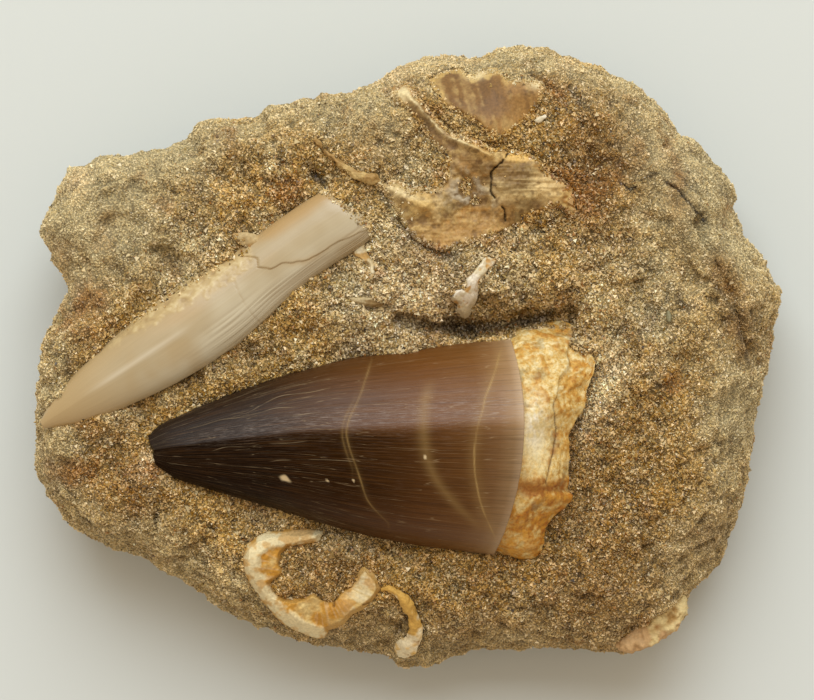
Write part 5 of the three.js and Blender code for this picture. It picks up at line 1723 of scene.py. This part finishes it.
# Loosely cemented grains scatter the light, so sandstone has hardly any shine.
sandstone, stone_shader = new_material("phosphate_sandstone")
stone_place = add_node(sandstone, "TexCoord").outputs["Object"]
# Grains of 0.33 mm: 3000 to the metre.
stone_grain = add_node(sandstone, "TexVoronoi", {"Vector": stone_place, "Scale": 3000.0})
# Each cell is painted lighter in its middle and darker at its rim: painted light and shade on each grain.
grain_light = add_node(sandstone, "MapRange", {"Value": stone_grain}, ends=(0.1, 0.7, 1.25, 0.45))
shade_and_dent(sandstone, stone_shader, "sand", grain_light, grain_light, 0.8, 0.3)
fill(stone_shader, {"Roughness": 0.9})
rock_mesh = make_mesh("sandstone_block", rock, rock_quads)
add_values(rock_mesh, "sand", tint * shade[:, None])
add_piece(rock_mesh, sandstone, "matrix_block")

# %% [markdown]
# ## Grains
#
# From arm's length the eye reads this stone by its grains: each one lit on one side, with a dark gap beside
# it. Bump alone would look printed, so the grains are real. Each is an uneven three-sided pyramid, about
# 0.35 mm across, turned at random and half sunk in the skin. They are scattered by area, more thickly where
# they show. None is wasted under a tooth, but some cling to the low bones, most along their edges, because
# such bones are never brushed quite clean. They are joined in a few meshes of equal size.

# %% Scattering the grains
GRAIN_PIECES = 6
GRAINS_EACH = 48_900  # of four faces each, so a piece stays under 200,000 triangles
CLINGING = 5_000  # how many of them lie on the bones
GRAIN_RADIUS = 0.2
rng = np.random.default_rng(2024)

a, b, c, d = rock[rock_quads].swapaxes(0, 1)
cross = np.cross(c - a, d - b) / 2
face_area = np.linalg.norm(cross, axis=1)
face_normal = cross / face_area[:, None].clip(1e-9)
face_middle = (a + b + c + d) / 4
# None lies under a fossil or within 0.6 mm of the paper, and the underside gets an eighth as many.
covered = (look_up(proud, face_middle[:, 0], face_middle[:, 1]) > 0.25) & (face_normal[:, 2] > 0)
shows = (face_middle[:, 2] > 0.6) & ~covered
weight = face_area * (0.12 + 0.88 * fade(face_normal[:, 2], -0.3, 0.35)) * shows
count = GRAIN_PIECES * GRAINS_EACH
on_rock = count - CLINGING
chosen = rng.choice(len(weight), on_rock, p=weight / weight.sum())
s, t = rng.uniform(size=(2, on_rock, 1))
rock_place = (
    a[chosen] * (1 - s) * (1 - t) + b[chosen] * s * (1 - t) + c[chosen] * s * t + d[chosen] * (1 - s) * t
)
print("grains on each square millimetre of the top:", round(float(on_rock / weight.sum()), 1))

# %% Grains that cling to the fossils
map_points = np.stack([map_x, map_y, 0 * map_x], axis=-1).reshape(-1, 3)
dust = fade(rough_noise(map_points, 2.4, 121), 0.1, 0.8).reshape(map_x.shape)
# On the fang sand sticks only to the flaked upper side and round the base.
map_reach, map_across = along_and_across(map_x - FANG_TIP[0], map_y - FANG_TIP[1], FANG_TURN)
on_fang = 0.12 * fade(map_reach, 12, 18) * fade(-map_reach, -37, -35) * fade(map_across, 4.3, 5.5)
at_base = (map_reach < 53) & (np.abs(map_across - 2) < 5)
on_fang += 0.3 * fade(map_reach + 0.3 * map_across, 50, 51.3) * at_base
cling = bone_edge**2 + 0.006 * is_bone * dust + on_fang * (proud > 0.1)
cell = rng.choice(cling.size, CLINGING, p=(cling / cling.sum()).ravel())
bone_place = map_points[cell] + rng.uniform(-MAP_CELL / 2, MAP_CELL / 2, (CLINGING, 3))
bone_place[:, 2] = look_up(fossil_top, bone_place[:, 0], bone_place[:, 1]) - 0.05
grain_place = np.concatenate([rock_place, bone_place])
grain_up = np.concatenate([face_normal[chosen], np.tile([0.0, 0.0, 1.0], (CLINGING, 1))])

# %% Sizes and colours of the grains
SCREEN_GAMMA = 2.2
BIG_RADIUS = 0.4


def as_shown(light):
    """Linear light as the screen shows it, nearly."""
    return np.asarray(light) ** (1 / SCREEN_GAMMA)


tint, weathered, smooth_part = stone_tint(grain_place)
radius = GRAIN_RADIUS * np.exp(rng.normal(0, 0.28, count)) * (1 - 0.2 * smooth_part)
radius[rng.uniform(size=count) < 0.004] *= 1.3  # a few large ones
sink = rng.normal(-0.02, 0.06, count) - 0.07 * smooth_part
grain_place = grain_place + grain_up * sink[:, None]

# A brighter grain is also paler: as the screen shows them, most is added to blue and least to red.
brighter = rng.normal(0.02 + 0.025 * (weathered - smooth_part), 0.11 - 0.07 * smooth_part, (1, count))
shown = as_shown(tint) + brighter.T * [0.9, 1, 1.25]
chance = rng.uniform(size=count)
# Some grains differ: dark iron, grey quartz, near-white shell, rust, and nearly black ones.
for low, high, tone, share in [
    (0, 0.12, "#4f3b20", 0.7), (0.12, 0.28, "#a69c78", 0.5), (0.28, 0.31, "#e6d8b4", 0.75),
    (0.31, 0.33, "#966229", 0.8), (0.33, 0.34, "#2a2016", 0.9),
]:
    picked = (chance >= low) & (chance < high) & (rng.uniform(size=count) > 0.75 * smooth_part)
    shown[picked] += (as_shown(linear(tone)[:3]) - shown[picked]) * share
big_ones = radius > BIG_RADIUS
shown[big_ones] += (as_shown(linear("#dcc896")[:3]) - shown[big_ones]) * 0.35
grain_colour = np.clip(shown, 0.05, 0.97) ** SCREEN_GAMMA
print("mean radius of a grain:", radius.mean().round(3), "mm, large ones:", big_ones.sum())

# %% The grains' meshes
# A grain before it is worn and turned: the four corners of a tetrahedron.
GRAIN = np.array([(1, 1, 1), (1, -1, -1), (-1, 1, -1), (-1, -1, 1)]) / np.sqrt(3)
GRAIN_FACES = np.array([(0, 1, 2), (0, 3, 1), (0, 2, 3), (1, 3, 2)])


def random_turns(count):
    """Evenly spread random rotations, from random unit quaternions."""
    quaternion = rng.normal(size=(4, count))
    w, x, y, z = quaternion / np.linalg.norm(quaternion, axis=0)
    return np.stack([
        np.stack([1 - 2 * (y * y + z * z), 2 * (x * y - w * z), 2 * (x * z + w * y)], axis=1),
        np.stack([2 * (x * y + w * z), 1 - 2 * (x * x + z * z), 2 * (y * z - w * x)], axis=1),
        np.stack([2 * (x * z - w * y), 2 * (y * z + w * x), 1 - 2 * (x * x + y * y)], axis=1),
    ], axis=1)


def grain_uv(count):
    """A small triangle of the unit square for each grain, in a square cell of its own."""
    side = int(np.ceil(np.sqrt(count)))
    cell = np.stack([np.arange(count) % side, np.arange(count) // side], axis=1) / side
    corner = np.array([(0.15, 0.15), (0.85, 0.15), (0.5, 0.85)]) / side
    one = cell[:, None, None] + corner
    return np.broadcast_to(one, (count, len(GRAIN_FACES), 3, 2)).reshape(-1, 2)


# Single grains are a little smoother than the stone, and some of them glint.
quartz, quartz_shader = new_material("quartz_and_phosphate_sand")
fill(quartz_shader, {"Base Color": add_node(quartz, "Attribute", attribute_name="grain"), "Roughness": 0.5})
for number in range(GRAIN_PIECES):
    part = slice(number, count, GRAIN_PIECES)
    uneven = GRAIN * rng.uniform(0.75, 1.3, (GRAINS_EACH, 4, 1)) * rng.uniform(0.7, 1.15, (GRAINS_EACH, 1, 3))
    turned = np.einsum("nij,nkj->nki", random_turns(GRAINS_EACH), uneven)
    points = grain_place[part][:, None] + turned * radius[part][:, None, None]
    faces = GRAIN_FACES + 4 * np.arange(GRAINS_EACH)[:, None, None]
    mesh = make_mesh(
        f"sand_grains_{number + 1}", points.reshape(-1, 3), np.empty((0, 4), int), faces.reshape(-1, 3),
        grain_uv(GRAINS_EACH),
    )
    add_values(mesh, "grain", np.repeat(grain_colour[part], 4, axis=0))
    add_piece(mesh, quartz, smooth=False)
